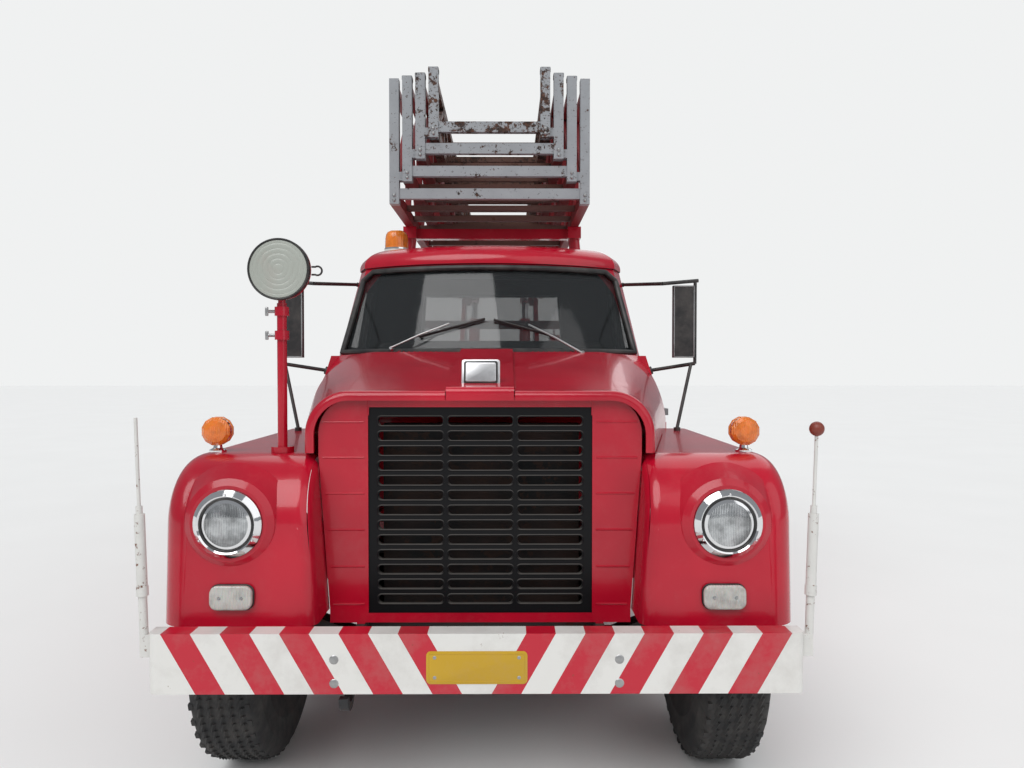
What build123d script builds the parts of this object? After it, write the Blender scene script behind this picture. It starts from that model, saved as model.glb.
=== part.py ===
# Bonneted fire engine with a turntable ladder of four nested trussed sections.
# Millimetres. +Z is up, the front faces -Y, +X is the vehicle's left side.
# The origin is on the ground, on the centre line, at half the overall length.
import math
import os
from build123d import *

os.makedirs("parts", exist_ok=True)

# Overall
WHEELBASE = 4825.0
FRONT_OVERHANG = 765.0
REAR_OVERHANG = 2010.0
LENGTH = FRONT_OVERHANG + WHEELBASE + REAR_OVERHANG
FRONT_Y = -LENGTH / 2
REAR_Y = LENGTH / 2
SEAT = 0.3

# Wheels and axles
FRONT_AXLE_Y = FRONT_Y + FRONT_OVERHANG
REAR_AXLE_Y = REAR_Y - REAR_OVERHANG
TYRE_R = 505.0
TYRE_W = 250.0
TYRE_BORE = 254.3
BEAD_W = 168.0
RIM_R = 254.0
RIM_WALL = 10.0
FRONT_WHEEL_X = 900.0
KINGPIN_X = 760.0
TWIN_MID_X = 830.0
TWIN_PITCH = 290.0
ARCH_R = 590.0
ARCH_IN = 610.0
SPINDLE_R = 30.0
REAR_SPINDLE_R = 45.0
BEARING_GAP = 0.5

# Frame
RAIL_X = 430.0
RAIL_T = 8.0
RAIL_FLANGE = 75.0
RAIL_BOTTOM = 640.0
RAIL_TOP = 860.0
RAIL_REAR_Y = REAR_Y - 160.0
HORN_KINK_Y = FRONT_AXLE_Y - 270.0
HORN_STEP = 100.0
HORN_W = 30.0
HORN_BOTTOM = 560.0
HORN_TOP = 650.0

# Bumper
BUMPER_HALF = 1015.0
BUMPER_BOTTOM = 535.0
BUMPER_H = 187.0
BUMPER_DEPTH = 70.0
BUMPER_T = 8.0
BUMPER_CORNER = 26.0

# Front sheet metal
SKIN = 12.0
FENDER_IN = 563.0
FENDER_FOOT_IN = 527.0
FENDER_INNER_R = 45.0
FENDER_OUT = 1042.0
FENDER_FRONT_Y = FRONT_Y + 130.0
FENDER_TOP = 1240.0
FENDER_BOTTOM = 700.0
FENDER_NOSE_R = 230.0
FENDER_RAKE = 20.0
FENDER_EDGE_R = 85.0
GRILLE_HALF = 388.0
GRILLE_BOTTOM = 687.0
GRILLE_TOP = 1404.0
GRILLE_T = 20.0
GRILLE_FRONT_Y = FRONT_Y + 314.0
SLOT_ROWS = 13
SLOT_PITCH = 51.7
SLOT_H = 34.0
SLOT_COLUMNS = 3
SLOT_W = 224.0
SLOT_COLUMN_PITCH = 242.0
SURROUND_HALF = 560.0
SURROUND_FOOT_HALF = 522.0
SURROUND_TOP = 1438.0
SURROUND_FRONT_Y = GRILLE_FRONT_Y - 6.0
SURROUND_DEPTH = 30.0
HOOD_FRONT_Y = SURROUND_FRONT_Y - 28.0
HOOD_BOTTOM = FENDER_TOP + 8.0
HOOD_FRONT_TOP = 1458.0
HOOD_REAR_TOP = 1612.0
HOOD_FRONT_HALF = 600.0
HOOD_REAR_HALF = 800.0
HOOD_FRONT_R = 150.0
HOOD_REAR_R = 300.0
HOOD_LIP = 30.0
HOOD_LIP_R = 22.0
HOOD_CUT_HALF = HOOD_REAR_HALF + 200.0
HOOD_CUT_Z = (HOOD_BOTTOM - 248.0, HOOD_REAR_TOP + 388.0)
SPINE_HALF = 117.0
HINGE_X = 120.0
SPINE_RISE = 14.0

# Cab
CAB_HALF = 880.0
CAB_WALL = 35.0
SILL_Z = RAIL_TOP + SEAT
SKIRT_Z = 800.0
FLOOR_T = 40.0
SHOULDER_Z = 1290.0
BELT_Z = 1600.0
BELT_HALF = 780.0
EAVES_Z = 2060.0
EAVES_HALF = 700.0
COWL_Y = FRONT_AXLE_Y + 385.0
HOOD_REAR_Y = COWL_Y - 6.0
PILLAR_Y = COWL_Y + 316.0
FENDER_REAR_Y = PILLAR_Y - 6.0
CAB_L = 814.0
CAB_REAR_Y = PILLAR_Y + CAB_L
DOOR_FRONT_Y = PILLAR_Y + 88.0
DOOR_REAR_Y = CAB_REAR_Y - 86.0
DOOR_BOTTOM = 918.0
DOOR_TOP = 2030.0
DOOR_GAP = 6.0
DOOR_HINGE_X = CAB_HALF + 11.0
DOOR_HINGE_Y = DOOR_FRONT_Y - 8.0
HINGE_PIN_R = 9.0

# Body behind the cab
DECK_Z = 1250.0
DECK_T = 40.0
BODY_HALF = 1080.0
DECK_FRONT_Y = CAB_REAR_Y + 80.0
DECK_REAR_Y = REAR_Y - 100.0
LOCKER_IN = 560.0
LOCKER_BOTTOM = 560.0
LOCKER_WALL = 20.0
LOCKER_DOOR_T = 18.0
SUBFRAME_X = 400.0

# Jacks
JACK_X = BODY_HALF - 120.0
JACK_Y = (REAR_AXLE_Y - 634.0, REAR_Y - 300.0)
JACK_BOX = 120.0
JACK_LEG = 96.0
JACK_BOX_BOTTOM = 560.0
JACK_BOX_TOP = 1150.0
JACK_FOOT_Z = 300.0

# Lockers fill the side between the cab and the front jacks
LOCKER_FRONT_GAP = 95.0
LOCKER_SPLIT = 20.0
LOCKER_Y0 = DECK_FRONT_Y + LOCKER_FRONT_GAP
LOCKER_Y1 = JACK_Y[0] - JACK_BOX / 2 - 1.0
LOCKER_L = (LOCKER_Y1 - LOCKER_Y0 - LOCKER_SPLIT) / 2
LOCKER_Y = (LOCKER_Y0 + LOCKER_L / 2, LOCKER_Y1 - LOCKER_L / 2)

# Turntable and ladder
TURN_Y = REAR_AXLE_Y + 610.0
TURN_Z = DECK_Z + DECK_T
SLEW_R = 520.0
SLEW_H = 90.0
PLATFORM_R = 750.0
PLATFORM_T = 50.0
PIVOT_Y = TURN_Y + 750.0
PIVOT_Z = 2330.0
PIVOT_R = 35.0
PIVOT_ARM_X = 425.0
PIVOT_ARM_T = 50.0
LADDER_FRONT_Y = CAB_REAR_Y - 580.0
LADDER_REAR_Y = PIVOT_Y + 300.0
SECTION_HALF = (525.0, 455.0, 385.0, 315.0)
SECTION_BOTTOM = (2400.0, 2514.0, 2628.0, 2735.0)
SECTION_TOP = (3052.0, 3060.0, 3070.0, 3096.0)
SECTION_FRONT_STEP = 15.0
SECTION_REAR_STEP = 110.0
CHORD_W = 50.0
CHORD_H = 60.0
HANDRAIL_H = 42.0
POST_W = 34.0
BRACE_W = 26.0
SIDE_BAYS = 9
RUNG_W = 36.0
RUNG_H = 30.0
RUNG_RISE = 28.0
FRONT_BAR_H = 54.0
RUNGS = 18
LIFT_X = 290.0
LIFT_BASE_Y = PIVOT_Y - 500.0
LIFT_BASE_Z = 1550.0
LIFT_ARM = 350.0
BARREL_R = 62.0
BARREL_L = 560.0
ROD_R = 34.0
EYE_R = 50.0
EYE_W = 60.0
EYE_PIN_R = 24.0


def save(piece, name):
    """Label one finished piece and write its file."""
    piece.part.label = name
    export_step(piece.part, "parts/" + name + ".step")


def block(x0, x1, y0, y1, z0, z1, mode=Mode.ADD):
    """A box between two corners, in the open part."""
    size = (abs(x1 - x0), abs(y1 - y0), abs(z1 - z0))
    with Locations(((x0 + x1) / 2, (y0 + y1) / 2, (z0 + z1) / 2)):
        Box(*size, mode=mode)


def rod(start, end, radius, mode=Mode.ADD):
    """A round bar between two points, in the open part."""
    path = Vector(*end) - Vector(*start)
    with BuildSketch(Plane(origin=start, z_dir=path)) as section:
        Circle(radius)
    extrude(section.sketch, amount=path.length, mode=mode)


def side_plate(points, x0, x1, mode=Mode.ADD):
    """A plate of a Y-Z outline between two X places."""
    with BuildSketch(Plane.YZ.offset(x0)) as outline:
        with BuildLine():
            Polyline(*points, close=True)
        make_face()
    extrude(outline.sketch, amount=x1 - x0, mode=mode)


def front_plate(points, y0, y1, mode=Mode.ADD):
    """A plate of an X-Z outline between two Y places."""
    with BuildSketch(Plane.XZ.offset(-y0)) as outline:
        with BuildLine():
            Polyline(*points, close=True)
        make_face()
    extrude(outline.sketch, amount=y0 - y1, mode=mode)


def both_sides(x):
    return (x, -x)


# Chassis frame: C rails with front horns, crossmembers, rear beam with the towing jaw,
# jack beams, jack boxes and the towing hook, each a solid of its own
HORN_FRONT_Y = FRONT_Y + BUMPER_T
CROSS_HALF_D = 40.0
CROSS_Z = (672.0, 828.0)
CROSS_FIRST_Y = CAB_REAR_Y - 130.0
CROSS_FOURTH_Y = REAR_AXLE_Y - 560.0
CROSS_STEP = (CROSS_FOURTH_Y - CROSS_FIRST_Y) / 3
CROSS_LAST_Y = RAIL_REAR_Y - 80.0
CROSS_Y = [CROSS_FIRST_Y + CROSS_STEP * step for step in range(4)] + [TURN_Y, CROSS_LAST_Y]
RADIATOR_Y = GRILLE_FRONT_Y + 116.0
RADIATOR_BAR_Z = (610.0, 650.0)
REAR_BEAM_HALF = 1000.0
REAR_BEAM_D = 60.0
REAR_BEAM_TOP = 780.0
LEDGE_Z = (640.0, 664.0)
TOW_JAW_HALF = 90.0
TOW_JAW_BOTTOM = 600.0
TOW_PIN_Y = REAR_Y - 50.0
TOW_PIN_R = 21.0
JACK_BEAM_Z = (880.0, 960.0)
JACK_PAD_HALF = 500.0
HOOK_X = -(RAIL_X - HORN_W / 2)
HOOK_T = 28.0
HOOK_R = 62.0
HOOK_HOLE_R = 36.0
HOOK_Y = FRONT_Y + 75.0
HOOK_Z = HORN_BOTTOM - 42.0


def frame_rail(side):
    """One C rail, dropping to a narrow horn in front."""
    web_out = side * RAIL_X
    web_in = side * (RAIL_X - RAIL_T)
    flange_in = side * (RAIL_X - RAIL_FLANGE)
    rear_y = RAIL_REAR_Y - SEAT
    rail_outline = (
        (HORN_FRONT_Y, HORN_BOTTOM),
        (HORN_FRONT_Y, HORN_TOP),
        (HORN_KINK_Y - HORN_STEP, HORN_TOP),
        (HORN_KINK_Y, RAIL_TOP),
        (rear_y, RAIL_TOP),
        (rear_y, RAIL_BOTTOM),
        (HORN_KINK_Y + HORN_STEP - 20, RAIL_BOTTOM),
        (HORN_KINK_Y, HORN_BOTTOM),
    )
    side_plate(rail_outline, min(web_in, web_out), max(web_in, web_out))
    block(flange_in, web_in, HORN_KINK_Y, rear_y, RAIL_TOP - RAIL_T, RAIL_TOP)
    block(flange_in, web_in, HORN_KINK_Y + 80, rear_y, RAIL_BOTTOM, RAIL_BOTTOM + RAIL_T)
    block(side * (RAIL_X - HORN_W), web_in, HORN_FRONT_Y, HORN_KINK_Y, HORN_BOTTOM, HORN_TOP)


def jack_box(x, y):
    """A square tube, closed at the top, that guides one jack leg."""
    half_box = JACK_BOX / 2
    half_leg = JACK_LEG / 2 + SEAT
    block(x - half_box, x + half_box, y - half_box, y + half_box, JACK_BOX_BOTTOM, JACK_BOX_TOP)
    span = (x - half_leg, x + half_leg, y - half_leg, y + half_leg)
    block(*span, JACK_BOX_BOTTOM, JACK_BOX_TOP - 20, mode=Mode.SUBTRACT)


def jack_beam(y):
    """A beam across both rails, with a pad that sits on them."""
    half_box = JACK_BOX / 2
    half = JACK_X - half_box - SEAT
    block(-half, half, y - half_box, y + half_box, *JACK_BEAM_Z)
    block(-JACK_PAD_HALF, JACK_PAD_HALF, y - half_box, y + half_box, RAIL_TOP + SEAT, JACK_BEAM_Z[0])


with BuildPart() as chassis_frame:
    for side in (1, -1):
        frame_rail(side)
    half = RAIL_X - RAIL_T - SEAT
    for y in CROSS_Y:
        block(-half, half, y - CROSS_HALF_D, y + CROSS_HALF_D, *CROSS_Z)
    half = RAIL_X - HORN_W - SEAT
    block(-half, half, RADIATOR_Y - 50, RADIATOR_Y + 50, *RADIATOR_BAR_Z)
    beam_y = RAIL_REAR_Y + REAR_BEAM_D
    block(-REAR_BEAM_HALF, REAR_BEAM_HALF, RAIL_REAR_Y, beam_y, LEDGE_Z[0], REAR_BEAM_TOP)
    block(-REAR_BEAM_HALF, REAR_BEAM_HALF, beam_y, REAR_Y, *LEDGE_Z)
    block(-TOW_JAW_HALF, TOW_JAW_HALF, beam_y, REAR_Y - 5, TOW_JAW_BOTTOM, LEDGE_Z[0])
    with Locations((0, TOW_PIN_Y, LEDGE_Z[0])):
        Cylinder(TOW_PIN_R, 200, mode=Mode.SUBTRACT)
    for y in JACK_Y:
        jack_beam(y)
        for x in both_sides(JACK_X):
            jack_box(x, y)
    with BuildSketch(Plane.YZ.offset(HOOK_X - HOOK_T / 2)) as hook:
        with Locations((HOOK_Y, HOOK_Z)):
            Circle(HOOK_R)
            Circle(HOOK_HOLE_R, mode=Mode.SUBTRACT)
        with Locations((HOOK_Y - 35, HOOK_Z + 25)):
            Rectangle(60, 60, mode=Mode.SUBTRACT)
        with Locations((HOOK_Y, HORN_BOTTOM - SEAT + 50)):
            Rectangle(200, 100, mode=Mode.SUBTRACT)
        with Locations((HOOK_Y + 50, HORN_BOTTOM - SEAT - 6)):
            Rectangle(80, 12)
    extrude(hook.sketch, amount=HOOK_T)
save(chassis_frame, "chassis_frame")

# Front bumper: a channel with rounded ends that wrap back
with BuildPart() as front_bumper:
    with BuildSketch(Plane.XY.offset(BUMPER_BOTTOM)):
        with Locations((0, FRONT_Y + BUMPER_DEPTH / 2)):
            Rectangle(2 * BUMPER_HALF, BUMPER_DEPTH)
    extrude(amount=BUMPER_H)
    corners = front_bumper.edges().filter_by(Axis.Z).group_by(Axis.Y)[0]
    fillet(corners, BUMPER_CORNER)
    inner = (BUMPER_HALF - BUMPER_T, FRONT_Y + BUMPER_T, FRONT_Y + BUMPER_DEPTH + 5)
    z_in = (BUMPER_BOTTOM + BUMPER_T, BUMPER_BOTTOM + BUMPER_H - BUMPER_T)
    with BuildPart(mode=Mode.PRIVATE) as hollow:
        block(-inner[0], inner[0], inner[1], inner[2], *z_in)
        fillet(hollow.edges().filter_by(Axis.Z).group_by(Axis.Y)[0], BUMPER_CORNER - BUMPER_T)
    add(hollow.part, mode=Mode.SUBTRACT)
save(front_bumper, "front_bumper")

# Marker sticks on the bumper ends: bracket, tube, collar, thin rod, ball
STICK_X = BUMPER_HALF + 22.0
STICK_Y = FRONT_Y + 40.0
STICK_LEAN = 0.03
STICK_BALL_R = 23.0
# bottom, top and radius of each length of tube and collar
STICK_TUBES = ((700, 830, 13), (830, 860, 18), (860, 1085, 16), (1085, 1110, 10))
STICK_ROD_Z = 1110
STICK_ROD_R = 5.5
STICK_FOOT_Z = 600
with BuildPart() as bumper_markers:
    # side, top of the thin rod, whether it ends in a ball
    for side, top, has_ball in ((1, 1350.0, True), (-1, 1385.0, False)):
        def at(z):
            return (side * (STICK_X + STICK_LEAN * (z - STICK_FOOT_Z)), STICK_Y, z)
        for tube_low, tube_high, tube_r in STICK_TUBES:
            rod(at(tube_low), at(tube_high), tube_r)
        rod(at(STICK_ROD_Z), at(top), STICK_ROD_R)
        if has_ball:
            with Locations(at(top)):
                Sphere(STICK_BALL_R)
        x_in = side * (BUMPER_HALF + SEAT)
        x_out = side * (STICK_X + 12)
        block(x_in, x_out, STICK_Y - 12, STICK_Y + 12, 640, 710)
save(bumper_markers, "bumper_markers")

# Front axle: drop beam, kingpin bosses, leaf springs
BEAM_END_X = 690.0
BEAM_DROP_X = 520.0
BEAM_END_Z = (465.0, 545.0)
BEAM_MIDDLE_Z = (400.0, 478.0)
BEAM_OUTLINE = (
    (-BEAM_END_X, BEAM_END_Z[1]),
    (-BEAM_DROP_X, BEAM_MIDDLE_Z[1]),
    (BEAM_DROP_X, BEAM_MIDDLE_Z[1]),
    (BEAM_END_X, BEAM_END_Z[1]),
    (BEAM_END_X, BEAM_END_Z[0]),
    (BEAM_DROP_X, BEAM_MIDDLE_Z[0]),
    (-BEAM_DROP_X, BEAM_MIDDLE_Z[0]),
    (-BEAM_END_X, BEAM_END_Z[0]),
)
BOSS_R = 38.0
SPRING_X = 392.0
SPRING_HALF_W = 36.0
SPRING_HALF_L = 520.0
EYE_ROD_R = 30.0


def leaf_spring(axle_y, seat_z, eye_z):
    """A curved leaf pack on each side, between the axle and its eyes."""
    sag = 52
    for x in both_sides(SPRING_X):
        front_y = axle_y - SPRING_HALF_L
        rear_y = axle_y + SPRING_HALF_L
        with BuildSketch(Plane.YZ.offset(x - SPRING_HALF_W)) as leaves:
            with BuildLine():
                ThreePointArc((front_y, eye_z - 12), (axle_y, seat_z), (rear_y, eye_z - 12))
                Line((rear_y, eye_z - 12), (rear_y, eye_z + 8))
                ThreePointArc((rear_y, eye_z + 8), (axle_y, seat_z + sag), (front_y, eye_z + 8))
                Line((front_y, eye_z + 8), (front_y, eye_z - 12))
            make_face()
        extrude(leaves.sketch, amount=2 * SPRING_HALF_W)
        for end_y in (front_y, rear_y):
            rod((x - SPRING_HALF_W, end_y, eye_z), (x + SPRING_HALF_W, end_y, eye_z), EYE_ROD_R)


with BuildPart() as front_axle:
    front_plate(BEAM_OUTLINE, FRONT_AXLE_Y - 40, FRONT_AXLE_Y + 40)
    for x in both_sides(KINGPIN_X):
        rod((x, FRONT_AXLE_Y, BEAM_END_Z[0]), (x, FRONT_AXLE_Y, BEAM_END_Z[1]), BOSS_R)
        x_in = math.copysign(BEAM_END_X - 10, x)
        block(x_in, x, FRONT_AXLE_Y - 34, FRONT_AXLE_Y + 34, *BEAM_END_Z)
    eye_z = HORN_BOTTOM - EYE_ROD_R - SEAT
    leaf_spring(FRONT_AXLE_Y, BEAM_MIDDLE_Z[1], eye_z)
    for x in both_sides(SPRING_X):
        hanger_y = FRONT_AXLE_Y + SPRING_HALF_L
        block(x - 30, x + 30, hanger_y - 22, hanger_y + 22, eye_z, RAIL_BOTTOM - SEAT)
save(front_axle, "front_axle")

# Rear axle: tube, banjo, spindles, leaf springs, propeller shaft
AXLE_Z = TYRE_R
BANJO_R = 165.0
SHAFT_R = 42.0
SHAFT_Z = 560.0
ENGINE_Y = (FRONT_AXLE_Y - 255.0, FRONT_AXLE_Y + 655.0)
GEARBOX_REAR_Y = ENGINE_Y[1] + 480.0
with BuildPart() as rear_axle:
    rod((-560, REAR_AXLE_Y, AXLE_Z), (560, REAR_AXLE_Y, AXLE_Z), 60)
    for side in (1, -1):
        rod((side * 550, REAR_AXLE_Y, AXLE_Z), (side * 850, REAR_AXLE_Y, AXLE_Z), REAR_SPINDLE_R)
    with Locations((0, REAR_AXLE_Y, AXLE_Z)):
        Sphere(BANJO_R)
    leaf_spring(REAR_AXLE_Y, AXLE_Z + 50, RAIL_BOTTOM - EYE_ROD_R - SEAT)
    rod((0, GEARBOX_REAR_Y + SEAT, SHAFT_Z), (0, REAR_AXLE_Y - 100, SHAFT_Z), SHAFT_R)
save(rear_axle, "rear_axle")

# Engine block, gearbox, engine mounts and radiator as plain separate pieces
ENGINE_HALF = 280.0
ENGINE_Z = (560.0, 1200.0)
GEARBOX_R = 140.0
GEARBOX_Z = 600.0
MOUNT_Y = (ENGINE_Y[0] + 240.0, ENGINE_Y[1] - 170.0)
MOUNT_TOP = 720.0
RADIATOR_HALF = 350.0
RADIATOR_TOP = 1340.0
with BuildPart() as engine_and_radiator:
    block(-ENGINE_HALF, ENGINE_HALF, *ENGINE_Y, *ENGINE_Z)
    rod((0, ENGINE_Y[1] + SEAT, GEARBOX_Z), (0, GEARBOX_REAR_Y, GEARBOX_Z), GEARBOX_R)
    for y in MOUNT_Y:
        for side in (1, -1):
            x_in = side * (ENGINE_HALF + SEAT)
            block(x_in, side * (RAIL_X - HORN_W), y - 40, y + 40, RAIL_BOTTOM + RAIL_T + SEAT, MOUNT_TOP)
    radiator_z = (RADIATOR_BAR_Z[1] + SEAT, RADIATOR_TOP)
    block(-RADIATOR_HALF, RADIATOR_HALF, RADIATOR_Y - 30, RADIATOR_Y + 30, *radiator_z)
save(engine_and_radiator, "engine_and_radiator")

# Exhaust: pipe, silencer, tail pipe, hanger
EXHAUST_X = -230.0
EXHAUST_Z = 566.0
SILENCER_Y = (CROSS_Y[1] - 450.0, CROSS_Y[1] + 400.0)
with BuildPart() as exhaust:
    rod((EXHAUST_X, ENGINE_Y[1] + SEAT, EXHAUST_Z), (EXHAUST_X, REAR_AXLE_Y - 690, EXHAUST_Z), 32)
    rod((EXHAUST_X, SILENCER_Y[0], EXHAUST_Z), (EXHAUST_X, SILENCER_Y[1], EXHAUST_Z), 60)
    block(EXHAUST_X - 10, EXHAUST_X + 10, CROSS_Y[1] - 15, CROSS_Y[1] + 15, 600, CROSS_Z[0] - SEAT)
save(exhaust, "exhaust")

# Steps under the doors: the fuel tank on the left, the battery box on the right
STEP_X = (520.0, 960.0)
STEP_Y = (PILLAR_Y + 74.0, CAB_REAR_Y - 40.0)
STEP_Z = (470.0, 760.0)
with BuildPart() as cab_steps:
    for side in (1, -1):
        x_in = side * (RAIL_X + SEAT)
        block(side * STEP_X[0], side * STEP_X[1], *STEP_Y, *STEP_Z)
        for y in (STEP_Y[0] + 100, STEP_Y[1] - 100):
            block(x_in, side * (STEP_X[0] + 10), y - 30, y + 30, 650, 750)
save(cab_steps, "cab_steps")


def fender_outline(x, inset):
    """Side view of the fender at one X place, drawn in by an inset."""
    front = FENDER_FRONT_Y + inset
    top = FENDER_TOP - inset
    rear = FENDER_REAR_Y
    low = FENDER_BOTTOM - (0 if inset == 0 else 200)
    radius = FENDER_NOSE_R - inset
    nose = front + FENDER_RAKE
    bulge = radius * (1 - math.sqrt(0.5))
    p0 = (nose + radius, top)
    p1 = (nose, top - radius)
    mid = (nose + bulge, top - bulge)
    with BuildSketch(Plane.YZ.offset(x)) as outline:
        with BuildLine():
            Line((rear, low), (rear, top))
            Line((rear, top), p0)
            ThreePointArc(p0, mid, p1)
            Line(p1, (front, low))
            Line((front, low), (rear, low))
        make_face()
    return outline.sketch


def fender_form(side, inset):
    """Solid fender with its inner side leaning in towards the foot, drawn in by an inset."""
    foot_in = FENDER_FOOT_IN + inset
    top_in = FENDER_IN + inset
    outline = fender_outline(side * foot_in, inset)
    with BuildPart() as form:
        extrude(outline, amount=side * (FENDER_OUT - inset - foot_in))
        lean = (
            (side * (foot_in - 50), FENDER_BOTTOM - 250),
            (side * foot_in, FENDER_BOTTOM - 250),
            (side * foot_in, FENDER_BOTTOM),
            (side * top_in, FENDER_TOP),
            (side * top_in, FENDER_TOP + 10),
            (side * (foot_in - 50), FENDER_TOP + 10),
        )
        front_plate(lean, FENDER_FRONT_Y - 10, FENDER_REAR_Y + 10, mode=Mode.SUBTRACT)
        rounded = form.edges().filter_by(lambda e: e.center().Z > FENDER_BOTTOM + 5)
        rounded = rounded.filter_by(lambda e: e.center().Y < FENDER_REAR_Y - 5)
        outer = rounded.filter_by(lambda e: abs(e.center().X) > FENDER_OUT - inset - 1)
        fillet(outer, FENDER_EDGE_R - inset)
    return form.part


def make_fender(side):
    """Shell fender with a crown, rounded edges, an inner wall in front, a lamp bowl and an arch."""
    with BuildPart() as piece:
        add(fender_form(side, 0))
        nose = piece.edges().filter_by(lambda e: abs(e.center().X) < FENDER_IN + 1)
        nose = nose.filter_by(lambda e: e.center().Y < FENDER_REAR_Y - 5)
        nose = nose.filter_by(lambda e: e.center().Z > FENDER_BOTTOM + 5)
        fillet(nose, FENDER_INNER_R)
        add(fender_form(side, SKIN), mode=Mode.SUBTRACT)
        x_in = side * (FENDER_FOOT_IN - 20)
        x_out = side * (FENDER_IN + SKIN + 1)
        inner_y = (SURROUND_FRONT_Y + 14, FENDER_REAR_Y + 1)
        block(x_in, x_out, *inner_y, FENDER_BOTTOM - 1, FENDER_TOP - SKIN, mode=Mode.SUBTRACT)
        with Locations((side * (ARCH_IN + 250), FRONT_AXLE_Y, AXLE_Z)):
            Cylinder(ARCH_R, 500, rotation=(0, 90, 0), mode=Mode.SUBTRACT)
        centre = (side * LAMP_X, LAMP_Y, LAMP_Z)
        with BuildSketch(Plane(origin=centre, x_dir=(1, 0, 0), z_dir=(0, 0, 1))) as swell:
            with BuildLine():
                Polyline(*SWELL, close=True)
            make_face()
        revolve(swell.sketch, axis=Axis(centre, (0, 1, 0)))
        with Locations(centre):
            Cylinder(LAMP_BOWL_R - SKIN, 150, rotation=(90, 0, 0), mode=Mode.SUBTRACT)
    return piece


# Lamp places
LAMP_X = 810.0
LAMP_Y = FENDER_FRONT_Y + 2.0
LAMP_Z = 1035.0
LAMP_BOWL_R = 124.0
SWELL_R = 190.0
SWELL_D = 78.0
SWELL = (
    (LAMP_BOWL_R - SKIN, 0),
    (LAMP_BOWL_R, 0),
    (LAMP_BOWL_R + 22, 14),
    (SWELL_R, SWELL_D),
    (SWELL_R - SKIN, SWELL_D),
    (LAMP_BOWL_R - SKIN, 20),
)
BEZEL_R = 111.0
LENS_R = 82.5
fender_left = make_fender(1)
save(fender_left, "fender_left")
fender_right = make_fender(-1)
save(fender_right, "fender_right")

# Grille surround: pressed panel round the grille, arched at the top
SURROUND_BOTTOM = 655.0
SURROUND_R = 125.0
with BuildPart() as grille_surround:
    outline = (
        (-SURROUND_HALF, SURROUND_TOP),
        (SURROUND_HALF, SURROUND_TOP),
        (SURROUND_HALF, FENDER_TOP),
        (SURROUND_FOOT_HALF, FENDER_BOTTOM),
        (SURROUND_FOOT_HALF, SURROUND_BOTTOM),
        (-SURROUND_FOOT_HALF, SURROUND_BOTTOM),
        (-SURROUND_FOOT_HALF, FENDER_BOTTOM),
        (-SURROUND_HALF, FENDER_TOP),
    )
    front_plate(outline, SURROUND_FRONT_Y, SURROUND_FRONT_Y + SURROUND_DEPTH)
    top_edges = grille_surround.edges().filter_by(Axis.Y).group_by(Axis.Z)[-1]
    fillet(top_edges, SURROUND_R)
    grille_z = (GRILLE_BOTTOM - SEAT, GRILLE_TOP + SEAT)
    half = GRILLE_HALF + SEAT
    block(-half, half, SURROUND_FRONT_Y - 5, SURROUND_FRONT_Y + 60, *grille_z, mode=Mode.SUBTRACT)
    for x in both_sides(415):
        block(x - 14, x + 14, SURROUND_FRONT_Y, SURROUND_FRONT_Y + SURROUND_DEPTH, HORN_TOP + SEAT, 700)
save(grille_surround, "grille_surround")

# Grille: one pressed panel with rows of round-ended slots
with BuildPart() as grille:
    grille_y = (GRILLE_FRONT_Y, GRILLE_FRONT_Y + GRILLE_T)
    block(-GRILLE_HALF, GRILLE_HALF, *grille_y, GRILLE_BOTTOM, GRILLE_TOP)
    with BuildSketch(Plane.XZ.offset(-GRILLE_FRONT_Y)):
        with Locations((0, (GRILLE_BOTTOM + GRILLE_TOP) / 2)):
            with GridLocations(SLOT_COLUMN_PITCH, SLOT_PITCH, SLOT_COLUMNS, SLOT_ROWS):
                SlotOverall(SLOT_W, SLOT_H)
    extrude(amount=-GRILLE_T, mode=Mode.SUBTRACT)
save(grille, "grille")


def hood_section(y, half, top, radius, inset):
    """Arch outline of the hood at one place along it."""
    half = half - inset
    top = top - inset
    radius = radius - inset
    low = HOOD_BOTTOM
    k = radius * (1 - math.sqrt(0.5))
    with BuildSketch(Plane.XZ.offset(-y)) as arch:
        with BuildLine():
            Line((-half, low), (-half, top - radius))
            ThreePointArc((-half, top - radius), (-half + k, top - k), (-half + radius, top))
            Line((-half + radius, top), (half - radius, top))
            ThreePointArc((half - radius, top), (half - k, top - k), (half, top - radius))
            Line((half, top - radius), (half, low))
            Line((half, low), (-half, low))
        make_face()
    return arch.sketch


def hood_form(inset):
    """Solid arch between the front lip and the cowl."""
    front = hood_section(HOOD_FRONT_Y, HOOD_FRONT_HALF, HOOD_FRONT_TOP, HOOD_FRONT_R, inset)
    rear = hood_section(HOOD_REAR_Y, HOOD_REAR_HALF, HOOD_REAR_TOP, HOOD_REAR_R, inset)
    with BuildPart() as form:
        loft([front.faces()[0], rear.faces()[0]], ruled=True)
    return form.part


def hood_outside():
    """The arch with its front edge rolled over."""
    with BuildPart() as form:
        add(hood_form(0))
        lip = form.edges().group_by(Axis.Y)[0]
        fillet(lip.filter_by(lambda e: e.center().Z > HOOD_BOTTOM + 5), HOOD_LIP_R)
    return form.part


def hood_inside():
    """The space under the hood, with a narrower mouth at the lip."""
    with BuildPart() as form:
        add(hood_form(SKIN))
        nose_y = (HOOD_FRONT_Y - 1, HOOD_FRONT_Y + SKIN)
        block(-HOOD_CUT_HALF, HOOD_CUT_HALF, *nose_y, *HOOD_CUT_Z, mode=Mode.SUBTRACT)
        mouth = hood_section(HOOD_FRONT_Y - 1, HOOD_FRONT_HALF, HOOD_FRONT_TOP, HOOD_FRONT_R, HOOD_LIP)
        extrude(mouth, amount=-SKIN - 2)
    return form.part


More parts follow.
